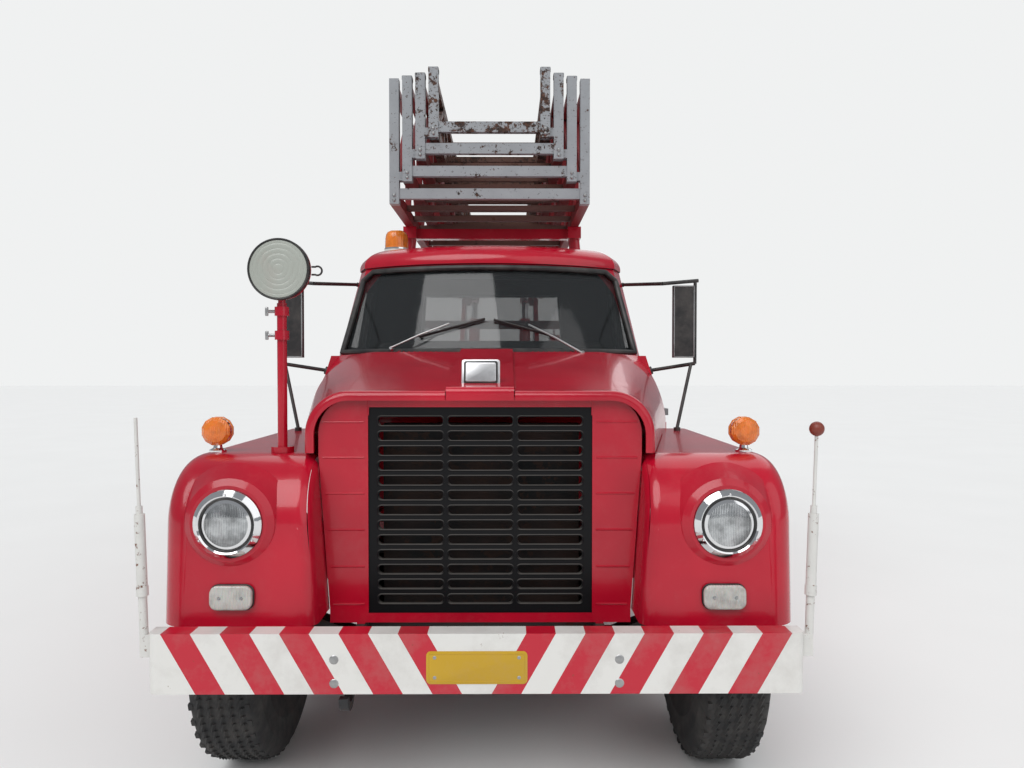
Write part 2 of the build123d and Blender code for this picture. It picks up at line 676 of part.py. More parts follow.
HOOD_OUT = hood_outside()
HOOD_IN = hood_inside()
HOOD_SLOPE = (HOOD_REAR_TOP - HOOD_FRONT_TOP) / (HOOD_REAR_Y - HOOD_FRONT_Y)


def hood_half(side):
    """One lifting half of the hood, hinged beside the spine."""
    with BuildPart() as piece:
        add(HOOD_OUT)
        add(HOOD_IN, mode=Mode.SUBTRACT)
        cut = side * HINGE_X
        whole_y = (HOOD_FRONT_Y - 100, HOOD_REAR_Y + 100)
        block(cut, -side * HOOD_CUT_HALF, *whole_y, *HOOD_CUT_Z, mode=Mode.SUBTRACT)
        hinge_r = HINGE_X - SPINE_HALF - SEAT
        start_z = HOOD_FRONT_TOP + HOOD_LIP * HOOD_SLOPE
        rod((cut, HOOD_FRONT_Y + HOOD_LIP, start_z), (cut, HOOD_REAR_Y, HOOD_REAR_TOP), hinge_r)
    return piece


hood_left = hood_half(1)
save(hood_left, "hood_left")
hood_right = hood_half(-1)
save(hood_right, "hood_right")

# Spine: the fixed raised centre strip of the hood
with BuildPart() as hood_spine:
    rear_y = COWL_Y - SEAT
    rear_z = HOOD_FRONT_TOP + HOOD_SLOPE * (rear_y - HOOD_FRONT_Y)
    strip = (
        (HOOD_FRONT_Y, HOOD_FRONT_TOP - HOOD_LIP),
        (HOOD_FRONT_Y, HOOD_FRONT_TOP + SPINE_RISE),
        (rear_y, rear_z + SPINE_RISE),
        (rear_y, rear_z - SKIN),
        (HOOD_FRONT_Y + SKIN, HOOD_FRONT_TOP - SKIN),
        (HOOD_FRONT_Y + SKIN, HOOD_FRONT_TOP - HOOD_LIP),
    )
    side_plate(strip, -SPINE_HALF, SPINE_HALF)
    front_edge = hood_spine.edges().filter_by(Axis.X).group_by(Axis.Y)[0].sort_by(Axis.Z)[-1:]
    fillet(front_edge, HOOD_LIP_R)
    foot_y = (SURROUND_FRONT_Y, SURROUND_FRONT_Y + SURROUND_DEPTH)
    block(-100, 100, *foot_y, SURROUND_TOP + SEAT, HOOD_FRONT_TOP)
save(hood_spine, "hood_spine")

LENS_CROWN = 10.0
LENS_BALL_R = (LENS_R ** 2 + LENS_CROWN ** 2) / (2 * LENS_CROWN)
LENS_MID_Y = -18 - LENS_CROWN + LENS_BALL_R - math.sqrt(LENS_BALL_R ** 2 - (LENS_R / 2) ** 2)

# Headlamps: bezel, bucket and crowned lens in one turned piece on each side
with BuildPart() as headlamps:
    for side in (1, -1):
        centre = (side * LAMP_X, LAMP_Y, LAMP_Z)
        with BuildSketch(Plane(origin=centre, x_dir=(1, 0, 0), z_dir=(0, 0, 1))):
            with BuildLine():
                Polyline(
                    (0, 50), (70, 50), (BEZEL_R, 8), (BEZEL_R, -8), (LENS_R + 12, -24), (LENS_R, -18)
                )
                ThreePointArc((LENS_R, -18), (LENS_R / 2, LENS_MID_Y), (0, -18 - LENS_CROWN))
                Line((0, -18 - LENS_CROWN), (0, 50))
            make_face()
        revolve(axis=Axis(centre, (0, 1, 0)))
save(headlamps, "headlamps")

# Marker lamps: oblong parking lamps, turn lamps on the fender tops, tail lamps
PARK_X = 798.0
PARK_Z = 797.0
PARK_W = 144.0
PARK_H = 84.0
PARK_DEPTH = 22.0
TURN_LAMP_X = 945.0
TURN_LAMP_Y = FENDER_FRONT_Y + 280.0
TURN_LAMP_Z = 1314.0
TURN_LAMP_R = 52.0
TURN_LAMP_HALF_D = 34.0
with BuildPart() as marker_lamps:
    for side in (1, -1):
        face_out = Vector(0, FENDER_BOTTOM - FENDER_TOP + FENDER_NOSE_R, FENDER_RAKE).normalized()
        face_y = FENDER_FRONT_Y - (PARK_Z - FENDER_BOTTOM) * face_out.Z / face_out.Y
        foot = Vector(side * PARK_X, face_y, PARK_Z) + face_out * SEAT
        with BuildSketch(Plane(origin=foot, x_dir=(1, 0, 0), z_dir=face_out)):
            SlotOverall(PARK_W, PARK_H)
        extrude(amount=PARK_DEPTH)
        stalk = (side * TURN_LAMP_X, TURN_LAMP_Y)
        rod((*stalk, FENDER_TOP + SEAT), (*stalk, TURN_LAMP_Z - 30), 14)
        front = (stalk[0], stalk[1] - TURN_LAMP_HALF_D, TURN_LAMP_Z)
        back = (stalk[0], stalk[1] + TURN_LAMP_HALF_D, TURN_LAMP_Z)
        rod(front, back, TURN_LAMP_R)
        tail_y = RAIL_REAR_Y + REAR_BEAM_D + SEAT
        block(side * 860, side * 980, tail_y, tail_y + 32, LEDGE_Z[1] + SEAT, 770)
save(marker_lamps, "marker_lamps")

# Cab: lofted greenhouse on a boxed lower body, hollow, with its openings cut


def greenhouse_section(z, half, front_y, corner_x, corner_y, side_y, rear_y, inset):
    """Plan outline of the upper cab with a bowed front."""
    with BuildSketch(Plane.XY.offset(z)) as plan:
        with BuildLine():
            h = half - inset
            cx = corner_x - inset * 0.8
            cy = corner_y + inset * 0.9
            sy = side_y + inset * 0.4
            ThreePointArc((-cx, cy), (0, front_y + inset), (cx, cy))
            Polyline((cx, cy), (h, sy), (h, rear_y - inset), (-h, rear_y - inset), (-h, sy), (-cx, cy))
        make_face()
    return plan.sketch.faces()[0]


# z, half width, front y, corner x, corner y, side start y, rear y
GREEN_LOW = (BELT_Z, BELT_HALF, PILLAR_Y - 266, 740.0, PILLAR_Y + 34, PILLAR_Y + 184, CAB_REAR_Y)
GREEN_HIGH = (EAVES_Z, EAVES_HALF, PILLAR_Y + 24, 648.0, PILLAR_Y + 244, PILLAR_Y + 384, CAB_REAR_Y - 30)


def greenhouse(inset):
    with BuildPart() as form:
        loft([greenhouse_section(*GREEN_LOW, inset), greenhouse_section(*GREEN_HIGH, inset)], ruled=True)
    return form.part


def lower_body(inset):
    """Cab body below the belt, upright to the shoulder and leaning in above it."""
    low = SILL_Z + (FLOOR_T if inset else 0)
    half = CAB_HALF - inset
    belt = BELT_HALF - inset
    left = ((half, SHOULDER_Z), (half, low))
    right = ((-half, low), (-half, SHOULDER_Z))
    section = right + ((-belt, BELT_Z), (belt, BELT_Z)) + left
    front_plate(section, PILLAR_Y + inset, CAB_REAR_Y - inset)


def cowl_section(y, low, knee, middle, shoulder):
    """Arch outline of the cowl from its upright side to its flat top."""
    with BuildSketch(Plane.XZ.offset(-y)) as arch:
        with BuildLine():
            Line((-knee[0], low), (-knee[0], knee[1]))
            ThreePointArc((-knee[0], knee[1]), (-middle[0], middle[1]), (-shoulder[0], shoulder[1]))
            Line((-shoulder[0], shoulder[1]), shoulder)
            ThreePointArc(shoulder, middle, knee)
            Line(knee, (knee[0], low))
            Line((knee[0], low), (-knee[0], low))
        make_face()
    return arch.sketch.faces()[0]


def cowl(inset):
    """The piece between the hood and the door pillars."""
    low = FENDER_TOP + SEAT + inset
    bend = HOOD_REAR_R * math.sqrt(0.5)
    arc_x = HOOD_REAR_HALF - HOOD_REAR_R
    arc_z = HOOD_REAR_TOP - HOOD_REAR_R
    lean = inset * math.sqrt(0.5)
    front = cowl_section(
        COWL_Y + inset,
        low,
        (HOOD_REAR_HALF - inset, arc_z),
        (arc_x + bend - lean, arc_z + bend - lean),
        (arc_x, HOOD_REAR_TOP - inset),
    )
    rear = cowl_section(
        PILLAR_Y + inset * 1.2,
        low,
        (CAB_HALF - inset, SHOULDER_Z),
        (CAB_HALF - 45 - inset, SHOULDER_Z + 165 - lean / 2),
        (GREEN_LOW[3] - inset, BELT_Z - inset),
    )
    loft([front, rear], ruled=True)


def cab_outer():
    with BuildPart() as form:
        lower_body(0)
        cowl(0)
        add(greenhouse(0))
    return form.part


def cab_inner():
    with BuildPart() as form:
        lower_body(CAB_WALL)
        cowl(CAB_WALL)
        add(greenhouse(CAB_WALL))
    return form.part


CAB_OUT = cab_outer()
CAB_IN = cab_inner()
WINDSCREEN = ((-728, 1622), (728, 1622), (655, 1990), (600, 2034), (-600, 2034), (-655, 1990))
REAR_WINDOW = ((-430, 1650), (430, 1650), (400, 1970), (-400, 1970))
DOOR_OUTLINE = (
    (DOOR_FRONT_Y, DOOR_BOTTOM),
    (DOOR_FRONT_Y, BELT_Z - 10),
    (PILLAR_Y + 214, BELT_Z + 50),
    (PILLAR_Y + 382, DOOR_TOP),
    (DOOR_REAR_Y, DOOR_TOP),
    (DOOR_REAR_Y, DOOR_BOTTOM),
)
WINDOW_REAR_Y = DOOR_REAR_Y - 64.0
DOOR_WINDOW = (
    (PILLAR_Y + 274, 1650),
    (PILLAR_Y + 414, 1970),
    (WINDOW_REAR_Y, 1970),
    (WINDOW_REAR_Y, 1650),
)


def grown(points, amount):
    """The same outline, moved out by an amount on every side."""
    with BuildSketch(Plane.XY, mode=Mode.PRIVATE) as flat:
        with BuildLine():
            Polyline(*points, close=True)
        make_face()
        offset(amount=amount, kind=Kind.INTERSECTION)
    edges = flat.sketch.faces()[0].outer_wire().order_edges()
    return [(edge.position_at(0).X, edge.position_at(0).Y) for edge in edges]


DASH_Z = (1440.0, 1580.0)
SCREEN_SPAN = (COWL_Y - 50, PILLAR_Y + 214)
BACK_SPAN = (CAB_REAR_Y - 80, CAB_REAR_Y + 20)
with BuildPart() as cab_shell:
    add(CAB_OUT)
    add(CAB_IN, mode=Mode.SUBTRACT)
    front_plate(WINDSCREEN, *SCREEN_SPAN, mode=Mode.SUBTRACT)
    front_plate(REAR_WINDOW, *BACK_SPAN, mode=Mode.SUBTRACT)
    opening = grown(DOOR_OUTLINE, DOOR_GAP)
    side_plate(opening, CAB_HALF - 320, CAB_HALF + 20, mode=Mode.SUBTRACT)
    side_plate(opening, -CAB_HALF - 20, 320 - CAB_HALF, mode=Mode.SUBTRACT)
    with BuildPart(mode=Mode.PRIVATE) as dash:
        block(-CAB_HALF, CAB_HALF, PILLAR_Y - 86, PILLAR_Y + 34, *DASH_Z)
        add(CAB_OUT, mode=Mode.INTERSECT)
    add(dash.part)
    for side in (1, -1):
        x_in = side * (CAB_HALF - CAB_WALL)
        block(x_in, side * CAB_HALF, PILLAR_Y, CAB_REAR_Y, SKIRT_Z, SILL_Z + 20)
save(cab_shell, "cab_shell")


ROOF_H = 112.0
ROOF_TOP = EAVES_Z + ROOF_H
ROOF_LIP = 8.0
ROOF_CORNER_R = 60.0
ROOF_EDGE_W = 190.0
ROOF_EDGE_H = 101.0
ROOF_SKIN = 40.0


def roof_outline(inset):
    """Plan of the roof with a bowed front edge, drawn in by an inset."""
    half = EAVES_HALF + ROOF_LIP - inset
    corner = (GREEN_HIGH[3] + ROOF_LIP - inset, GREEN_HIGH[4] - ROOF_LIP + inset)
    side_y = GREEN_HIGH[5]
    front_y = GREEN_HIGH[2] - 14 + inset
    rear_y = CAB_REAR_Y - 20 - inset
    with BuildSketch(Plane.XY.offset(EAVES_Z + SEAT)) as plan:
        with BuildLine():
            ThreePointArc((-corner[0], corner[1]), (0, front_y), corner)
            Line(corner, (half, side_y))
            Line((half, side_y), (half, rear_y))
            Line((half, rear_y), (-half, rear_y))
            Line((-half, rear_y), (-half, side_y))
            Line((-half, side_y), (-corner[0], corner[1]))
        make_face()
    return plan.sketch


# The roof is rounded as a taller block, then flattened, which makes its edges elliptical
FLATTEN = ROOF_EDGE_H / ROOF_EDGE_W
with BuildPart() as tall_roof:
    extrude(roof_outline(0), amount=ROOF_H / FLATTEN)
    rear_corners = tall_roof.edges().filter_by(Axis.Z).group_by(Axis.Y)[-1]
    fillet(rear_corners, ROOF_CORNER_R)
    fillet(tall_roof.edges().group_by(Axis.Z)[-1], ROOF_EDGE_W)
crown = scale(tall_roof.part, by=(1, 1, FLATTEN))
with BuildPart() as cab_roof:
    add(crown.moved(Location((0, 0, (EAVES_Z + SEAT) * (1 - FLATTEN)))))
    with BuildPart(mode=Mode.PRIVATE) as under:
        extrude(roof_outline(ROOF_SKIN + 50), amount=ROOF_H - ROOF_SKIN)
    add(under.part, mode=Mode.SUBTRACT)
save(cab_roof, "cab_roof")

GLASS_T = 6.0
GLASS_IN = 12.0


def glass_slice(inset):
    with BuildPart() as form:
        add(greenhouse(inset))
        add(greenhouse(inset + GLASS_T), mode=Mode.SUBTRACT)
    return form.part


GLASS_SKIN = glass_slice(GLASS_IN)


def front_cut(points, y0, y1):
    with BuildPart() as form:
        front_plate(points, y0, y1)
    return form.part


def side_cut(points, x0, x1):
    with BuildPart() as form:
        side_plate(points, x0, x1)
    return form.part


with BuildPart() as cab_glass:
    add(GLASS_SKIN)
    with BuildPart(mode=Mode.PRIVATE) as window_forms:
        add(front_cut(grown(WINDSCREEN, -SEAT), *SCREEN_SPAN))
        add(front_cut(grown(REAR_WINDOW, -SEAT), *BACK_SPAN))
    add(window_forms.part, mode=Mode.INTERSECT)
save(cab_glass, "cab_glass")


DOOR_HINGE_ZS = (1010.0, 1220.0)


def make_door(side):
    """Door panel cut from the cab's own form, with its window and hinges."""
    x0, x1 = sorted((side * (CAB_HALF - 280), side * (CAB_HALF + 20)))
    with BuildPart() as piece:
        add(CAB_OUT)
        add(CAB_IN, mode=Mode.SUBTRACT)
        add(side_cut(DOOR_OUTLINE, x0, x1), mode=Mode.INTERSECT)
        side_plate(DOOR_WINDOW, x0, x1, mode=Mode.SUBTRACT)
        for z in DOOR_HINGE_ZS:
            hinge = (side * DOOR_HINGE_X, DOOR_HINGE_Y)
            rod((*hinge, z - 45), (*hinge, z + 45), HINGE_PIN_R)
            leaf = (side * DOOR_HINGE_X, DOOR_FRONT_Y, DOOR_FRONT_Y + 60)
            block(side * (CAB_HALF - 0.5), *leaf, z - 30, z + 30)
            block(side * (CAB_HALF + 1), leaf[0], DOOR_HINGE_Y, DOOR_FRONT_Y + 5, z - 30, z + 30)
        handle_y = DOOR_REAR_Y - 94
        block(side * CAB_HALF, side * (CAB_HALF + 32), handle_y - 60, handle_y + 60, 1230, 1255)
    return piece


def make_door_glass(side):
    x0, x1 = sorted((side * (CAB_HALF - 280), side * (CAB_HALF + 20)))
    with BuildPart() as piece:
        add(GLASS_SKIN)
        add(side_cut(grown(DOOR_WINDOW, -SEAT), x0, x1), mode=Mode.INTERSECT)
    return piece


for name, side in (("left", 1), ("right", -1)):
    save(make_door(side), "door_" + name)
    save(make_door_glass(side), "door_glass_" + name)

# Mirrors on arms in front of the door pillars
MIRROR_Y = PILLAR_Y - 66.0
MIRROR_STEM_X = 1008.0
MIRROR_ELBOW_X = 850.0
MIRROR_ELBOW_Z = 1950.0
MIRROR_STEM_Z = (1560.0, 1965.0)
MIRROR_PAD_Z = 1990.0
MIRROR_LOW_PAD_Z = 1525.0
MIRROR_PAD_T = 12.0
MIRROR_ARM_R = 9.0
MIRROR_STEM_R = 8.0
MIRROR_HEAD_Z = (1590.0, 1940.0)
MIRROR_HEAD_IN = 108.0
MIRROR_STRUT_IN = 103.0
SHOULDER_LEAN = (CAB_HALF - BELT_HALF) / (BELT_Z - SHOULDER_Z)
with BuildPart() as mirrors:
    for side in (1, -1):
        elbow = (side * MIRROR_ELBOW_X, MIRROR_Y, MIRROR_ELBOW_Z)
        stem = [(side * MIRROR_STEM_X, MIRROR_Y, z) for z in MIRROR_STEM_Z]
        wall_normal = Vector(side, 0, (BELT_HALF - EAVES_HALF) / (EAVES_Z - BELT_Z)).normalized()
        wall_x = BELT_HALF - wall_normal.Z / abs(wall_normal.X) * (MIRROR_PAD_Z - BELT_Z)
        pad = Vector(side * wall_x, PILLAR_Y + 372, MIRROR_PAD_Z) + wall_normal * SEAT
        rod(pad, pad + wall_normal * MIRROR_PAD_T, 12)
        rod(pad + wall_normal * (MIRROR_PAD_T - 2), elbow, MIRROR_ARM_R)
        rod(elbow, (side * (MIRROR_STEM_X + 15), MIRROR_Y, MIRROR_STEM_Z[1]), MIRROR_ARM_R)
        rod(stem[1], stem[0], MIRROR_STEM_R)
        low_normal = Vector(side, 0, SHOULDER_LEAN).normalized()
        low_x = CAB_HALF - SHOULDER_LEAN * (MIRROR_LOW_PAD_Z - SHOULDER_Z)
        low_pad = Vector(side * low_x, PILLAR_Y + 29, MIRROR_LOW_PAD_Z) + low_normal * SEAT
        rod(low_pad, low_pad + low_normal * MIRROR_PAD_T, 20)
        low_end = (side * MIRROR_STEM_X, MIRROR_Y, MIRROR_STEM_Z[0] + 2)
        rod(low_pad + low_normal * (MIRROR_PAD_T - 2), low_end, MIRROR_ARM_R)
        strut_foot = (side * (MIRROR_STEM_X - MIRROR_STRUT_IN), PILLAR_Y - 146)
        rod((*strut_foot, FENDER_TOP + SEAT), (*strut_foot, FENDER_TOP + 16), 16)
        strut_top = (side * (MIRROR_STEM_X - 20), MIRROR_Y, MIRROR_STEM_Z[0] - 5)
        rod(strut_top, (*strut_foot, FENDER_TOP + 12), MIRROR_STEM_R)
        head = (side * (MIRROR_STEM_X - MIRROR_HEAD_IN), side * (MIRROR_STEM_X - 4))
        block(*head, MIRROR_Y - 12, MIRROR_Y + 18, *MIRROR_HEAD_Z)
save(mirrors, "mirrors")

# Bench seat: cushion and backrest
FLOOR_Z = SILL_Z + FLOOR_T
CUSHION_Z = (FLOOR_Z + 220, FLOOR_Z + 360)
CUSHION_HALF = 740.0
BACKREST_HALF = 680.0
BACKREST_TOP = FLOOR_Z + 800
SEAT_BACK_Y = CAB_REAR_Y - 50.0
with BuildPart() as bench_seat:
    block(-CUSHION_HALF, CUSHION_HALF, SEAT_BACK_Y - 450, SEAT_BACK_Y, *CUSHION_Z)
    block(-BACKREST_HALF, BACKREST_HALF, SEAT_BACK_Y - 120, SEAT_BACK_Y, CUSHION_Z[1], BACKREST_TOP)
save(bench_seat, "bench_seat")

# Seat base: a plain box under the bench
with BuildPart() as seat_base:
    base_y = (SEAT_BACK_Y - 390, SEAT_BACK_Y - 30)
    block(-CUSHION_HALF + 20, CUSHION_HALF - 20, *base_y, FLOOR_Z + SEAT, CUSHION_Z[0] - SEAT)
save(seat_base, "seat_base")

# Steering wheel with three spokes on its column
WHEEL_C = (400.0, PILLAR_Y + 264.0, 1450.0)
FIREWALL_Y = PILLAR_Y + CAB_WALL
WHEEL_TILT = 32.0
with BuildPart() as steering_wheel:
    tilt = math.radians(WHEEL_TILT)
    axis = Vector(0, math.sin(tilt), math.cos(tilt))
    base = Plane(origin=WHEEL_C, x_dir=(1, 0, 0), z_dir=axis)
    across = Vector(0, -math.cos(tilt), math.sin(tilt))
    with BuildSketch(Plane(origin=WHEEL_C, x_dir=(1, 0, 0), z_dir=across)):
        with Locations((210, 0)):
            Circle(14)
    revolve(axis=Axis(WHEEL_C, tuple(axis)))
    hub = Vector(*WHEEL_C)
    for angle in (0, 120, 240):
        reach = base.from_local_coords(Vector(202, 0, 0).rotate(Axis.Z, angle + 30))
        rod(hub, reach, 8)
    rod((hub - axis * 30), (hub + axis * 12), 34)
    column_end = hub - axis * ((WHEEL_C[1] - FIREWALL_Y - 24) / math.sin(tilt))
    flange_start = (WHEEL_C[0], FIREWALL_Y + SEAT, column_end.Z)
    flange_end = (WHEEL_C[0], FIREWALL_Y + 40, column_end.Z)
    rod(flange_start, flange_end, 34)
    rod(column_end, (hub - axis * 25), 20)
save(steering_wheel, "steering_wheel")

# Deck: plate, slewing ring, subframe on the rails, crossbeams, boxes behind the rear
# wheels, and a mudguard over each pair, each a solid of its own
SUBFRAME_HALF_W = 30.0
CROSSBEAM_H = 120.0
CROSSBEAM_Y = (DECK_FRONT_Y + 40, (LOCKER_Y0 + LOCKER_Y1) / 2, TURN_Y, JACK_Y[1] - 200)
REAR_BOX_Y = (REAR_AXLE_Y + 630, JACK_Y[1] - 100)
GUARD_R = 588.0
GUARD_T = 10.0
GUARD_CUT = 180.0


def mudguard(side):
    """A curved guard over one pair of wheels, hung from the deck."""
    with BuildSketch(Plane.YZ.offset(side * (LOCKER_IN - 5))) as arc:
        with Locations((REAR_AXLE_Y, AXLE_Z)):
            Circle(GUARD_R + GUARD_T)
            Circle(GUARD_R, mode=Mode.SUBTRACT)
        with Locations((REAR_AXLE_Y, AXLE_Z - 300)):
            Rectangle(2 * GUARD_R + 124, 600 + 2 * GUARD_CUT, mode=Mode.SUBTRACT)
    extrude(arc.sketch, amount=side * (BODY_HALF - LOCKER_IN + 5))
    hanger_x = (side * (LOCKER_IN + 10), side * (BODY_HALF - 10))
    block(*hanger_x, REAR_AXLE_Y - 20, REAR_AXLE_Y + 20, AXLE_Z + GUARD_R + 4, DECK_Z - SEAT)


with BuildPart() as deck:
    block(-BODY_HALF, BODY_HALF, DECK_FRONT_Y, DECK_REAR_Y, DECK_Z, DECK_Z + DECK_T)
    rod((0, TURN_Y, TURN_Z + SEAT), (0, TURN_Y, TURN_Z + SLEW_H), SLEW_R)
    beam_z = (RAIL_TOP + SEAT, DECK_Z - SEAT)
    jack_gap = JACK_BOX / 2 + 2
    for side in (1, -1):
        x0 = side * (SUBFRAME_X - SUBFRAME_HALF_W)
        x1 = side * (SUBFRAME_X + SUBFRAME_HALF_W)
        block(x0, x1, DECK_FRONT_Y, JACK_Y[0] - jack_gap, *beam_z)
        block(x0, x1, JACK_Y[0] + jack_gap, JACK_Y[1] - jack_gap, *beam_z)
        block(side * LOCKER_IN, side * BODY_HALF, *REAR_BOX_Y, LOCKER_BOTTOM + 80, DECK_Z - SEAT)
        mudguard(side)
    half = SUBFRAME_X - SUBFRAME_HALF_W - SEAT
    for y in CROSSBEAM_Y:
        block(-half, half, y - 30, y + 30, beam_z[1] - CROSSBEAM_H, beam_z[1])
save(deck, "deck")

# Lockers: two hollow compartments on each side with drop-down doors
with BuildPart() as lockers:
    for side in (1, -1):
        for y in LOCKER_Y:
            y0 = y - LOCKER_L / 2
            y1 = y + LOCKER_L / 2
            top = DECK_Z - SEAT
            wall = LOCKER_WALL
            x_out = side * (BODY_HALF - LOCKER_DOOR_T - SEAT)
            block(side * LOCKER_IN, x_out, y0, y1, LOCKER_BOTTOM, top)
            span = (side * (LOCKER_IN + wall), side * (BODY_HALF + 10), y0 + wall, y1 - wall)
            block(*span, LOCKER_BOTTOM + wall, top - wall, mode=Mode.SUBTRACT)
save(lockers, "lockers")

LOCKER_HINGE_Z = LOCKER_BOTTOM + 14.0
for side_name, side in (("left", 1), ("right", -1)):
    for place, y in zip(("front", "rear"), LOCKER_Y):
        with BuildPart() as locker_door:
            x0 = side * (BODY_HALF - LOCKER_DOOR_T)
            half = LOCKER_L / 2 - 5
            block(x0, side * BODY_HALF, y - half, y + half, LOCKER_HINGE_Z, DECK_Z - 10)
            pin = (side * (BODY_HALF + 6), LOCKER_HINGE_Z)
            rod((pin[0], y - half + 60, pin[1]), (pin[0], y + half - 60, pin[1]), 6)
            block(side * BODY_HALF, pin[0], y - half + 60, y + half - 60, pin[1] - 4, pin[1] + 4)
            block(side * BODY_HALF, side * (BODY_HALF + 10), y - 70, y + 70, DECK_Z - 90, DECK_Z - 60)
        save(locker_door, "locker_door_" + side_name + "_" + place)

# Ladder cradle: an A-frame behind the cab with rubber pads
CRADLE_Y = DECK_FRONT_Y + 40.0
CRADLE_TOP = SECTION_BOTTOM[0] - 1.0
with BuildPart() as ladder_cradle:
    for side in (1, -1):
        rod((side * 600, CRADLE_Y, TURN_Z + 10), (side * 500, CRADLE_Y, CRADLE_TOP - 60), 34)
        block(side * 460, side * 540, CRADLE_Y - 60, CRADLE_Y + 60, CRADLE_TOP - 70, CRADLE_TOP)
        block(side * 540, side * 660, CRADLE_Y - 35, CRADLE_Y + 60, TURN_Z + SEAT, TURN_Z + 15)
    block(-500, 500, CRADLE_Y - 30, CRADLE_Y + 30, CRADLE_TOP - 70, CRADLE_TOP - 10)
    block(-570, 570, CRADLE_Y - 20, CRADLE_Y + 20, 1780, 1830)
save(ladder_cradle, "ladder_cradle")

# Steering knuckles: two ears round the kingpin boss, spindle and arm
EAR_GAP = SEAT
ARM_L = 190.0
TIE_Z = 424.0
KNUCKLE_WEB_X = 806.0
KNUCKLE_LOW_Z = 425.0
KNUCKLE_HIGH_Z = 585.0
KINGPIN_LOW_Z = 408.0
SPINDLE_END_X = 955.0


def make_knuckle(side):
    x = side * KINGPIN_X
    y = FRONT_AXLE_Y
    with BuildPart() as piece:
        ear_low = BEAM_END_Z[0] - EAR_GAP
        ear_high = BEAM_END_Z[1] + EAR_GAP
        rod((x, y, ear_high), (x, y, KNUCKLE_HIGH_Z), BOSS_R)
        rod((x, y, KINGPIN_LOW_Z), (x, y, ear_low), BOSS_R)
        web_in = side * KNUCKLE_WEB_X
        web_out = side * (KNUCKLE_WEB_X + 26)
        block(x, web_out, y - 36, y + 36, ear_high, KNUCKLE_HIGH_Z)
        block(x, web_out, y - 36, y + 36, KNUCKLE_LOW_Z, ear_low)
        block(web_in, web_out, y - 50, y + 50, KNUCKLE_LOW_Z, KNUCKLE_HIGH_Z)
        rod((web_in, y, AXLE_Z), (side * SPINDLE_END_X, y, AXLE_Z), SPINDLE_R)
        block(x - 18, x + 18, y, y + ARM_L, TIE_Z - 14, TIE_Z + 14)
        rod((x, y + ARM_L, TIE_Z - 14), (x, y + ARM_L, TIE_Z + 14), 22)
    return piece


for name, side in (("left", 1), ("right", -1)):
    save(make_knuckle(side), "knuckle_" + name)

# Tie rod below the steering arms
TIE_DROP = 34.0
with BuildPart() as tie_rod:
    y = FRONT_AXLE_Y + ARM_L
    z = TIE_Z - TIE_DROP
    for x in both_sides(KINGPIN_X):
        rod((x, y, z - 15), (x, y, TIE_Z - 14 - EAR_GAP), 20)
    rod((-KINGPIN_X, y, z), (KINGPIN_X, y, z), 15)
save(tie_rod, "tie_rod")

# Tyres and rims, turned about the wheel axis. Each row is x from the mid plane, radius.
TYRE_HALF = (
    (BEAD_W / 2, TYRE_BORE),
    (BEAD_W / 2, 277.0),
    (116.0, 330.0),
    (TYRE_W / 2, 395.0),
    (119.0, 455.0),
    (103.0, 492.0),
    (88.0, TYRE_R),
)


def ring(points, centre_x, axle_y, mode=Mode.ADD):
    """Turn an outline of x, radius rows about the axle."""
    with BuildSketch(Plane.XY.offset(AXLE_Z)) as outline:
        with BuildLine():
            Polyline(*[(centre_x + x, axle_y + r) for x, r in points], close=True)
        make_face()
    revolve(outline.sketch, axis=Axis((0, axle_y, AXLE_Z), (1, 0, 0)), mode=mode)


def make_tyre(centres, axle_y):
    outline = TYRE_HALF + tuple((-x, r) for x, r in reversed(TYRE_HALF))
    with BuildPart() as piece:
        for centre in centres:
            ring(outline, centre, axle_y)
    return piece


FLANGE_T = 14.0
FLANGE_R = 271.0


def rim_barrel(centre, axle_y):
    """The turned barrel with its two flanges."""
    half = BEAD_W / 2
    outline = (
        (-half - FLANGE_T, FLANGE_R),
        (-half - SEAT, FLANGE_R),
        (-half - SEAT, RIM_R),
        (half + SEAT, RIM_R),
        (half + SEAT, FLANGE_R),
        (half + FLANGE_T, FLANGE_R),
        (half + FLANGE_T, RIM_R - RIM_WALL),
        (-half - FLANGE_T, RIM_R - RIM_WALL),
    )
    ring(outline, centre, axle_y)


HAND_HOLES = 6
HAND_HOLE_R = 27.0
HAND_HOLE_PCD_R = 175.0


def hand_holes(x0, x1, axle_y):
    with BuildSketch(Plane.YZ.offset(min(x0, x1))) as holes:
        with Locations((axle_y, AXLE_Z)):
            with PolarLocations(HAND_HOLE_PCD_R, HAND_HOLES):
                Circle(HAND_HOLE_R)
    extrude(holes.sketch, amount=abs(x1 - x0), mode=Mode.SUBTRACT)


# Outlines of the wheel discs and hubs, rows of x outward from the mid plane and radius
FRONT_DISC = ((0, 80), (52, 130), (52, 185), (8, 246), (20, 246), (64, 190), (64, 60), (0, 60))
FRONT_HUB = ((-55, 0), (-55, 70), (64, 85), (118, 70), (122, 0))
REAR_DISC = ((0, 60), (0, 190), (90, 246), (104, 246), (14, 184), (14, 60))
REAR_HUB = ((-70, 0), (-70, 95), (60, 110), (150, 95), (165, 0))


def facing(side, outline):
    """The outline turned to face out on one side."""
    return [(side * x, r) for x, r in outline]


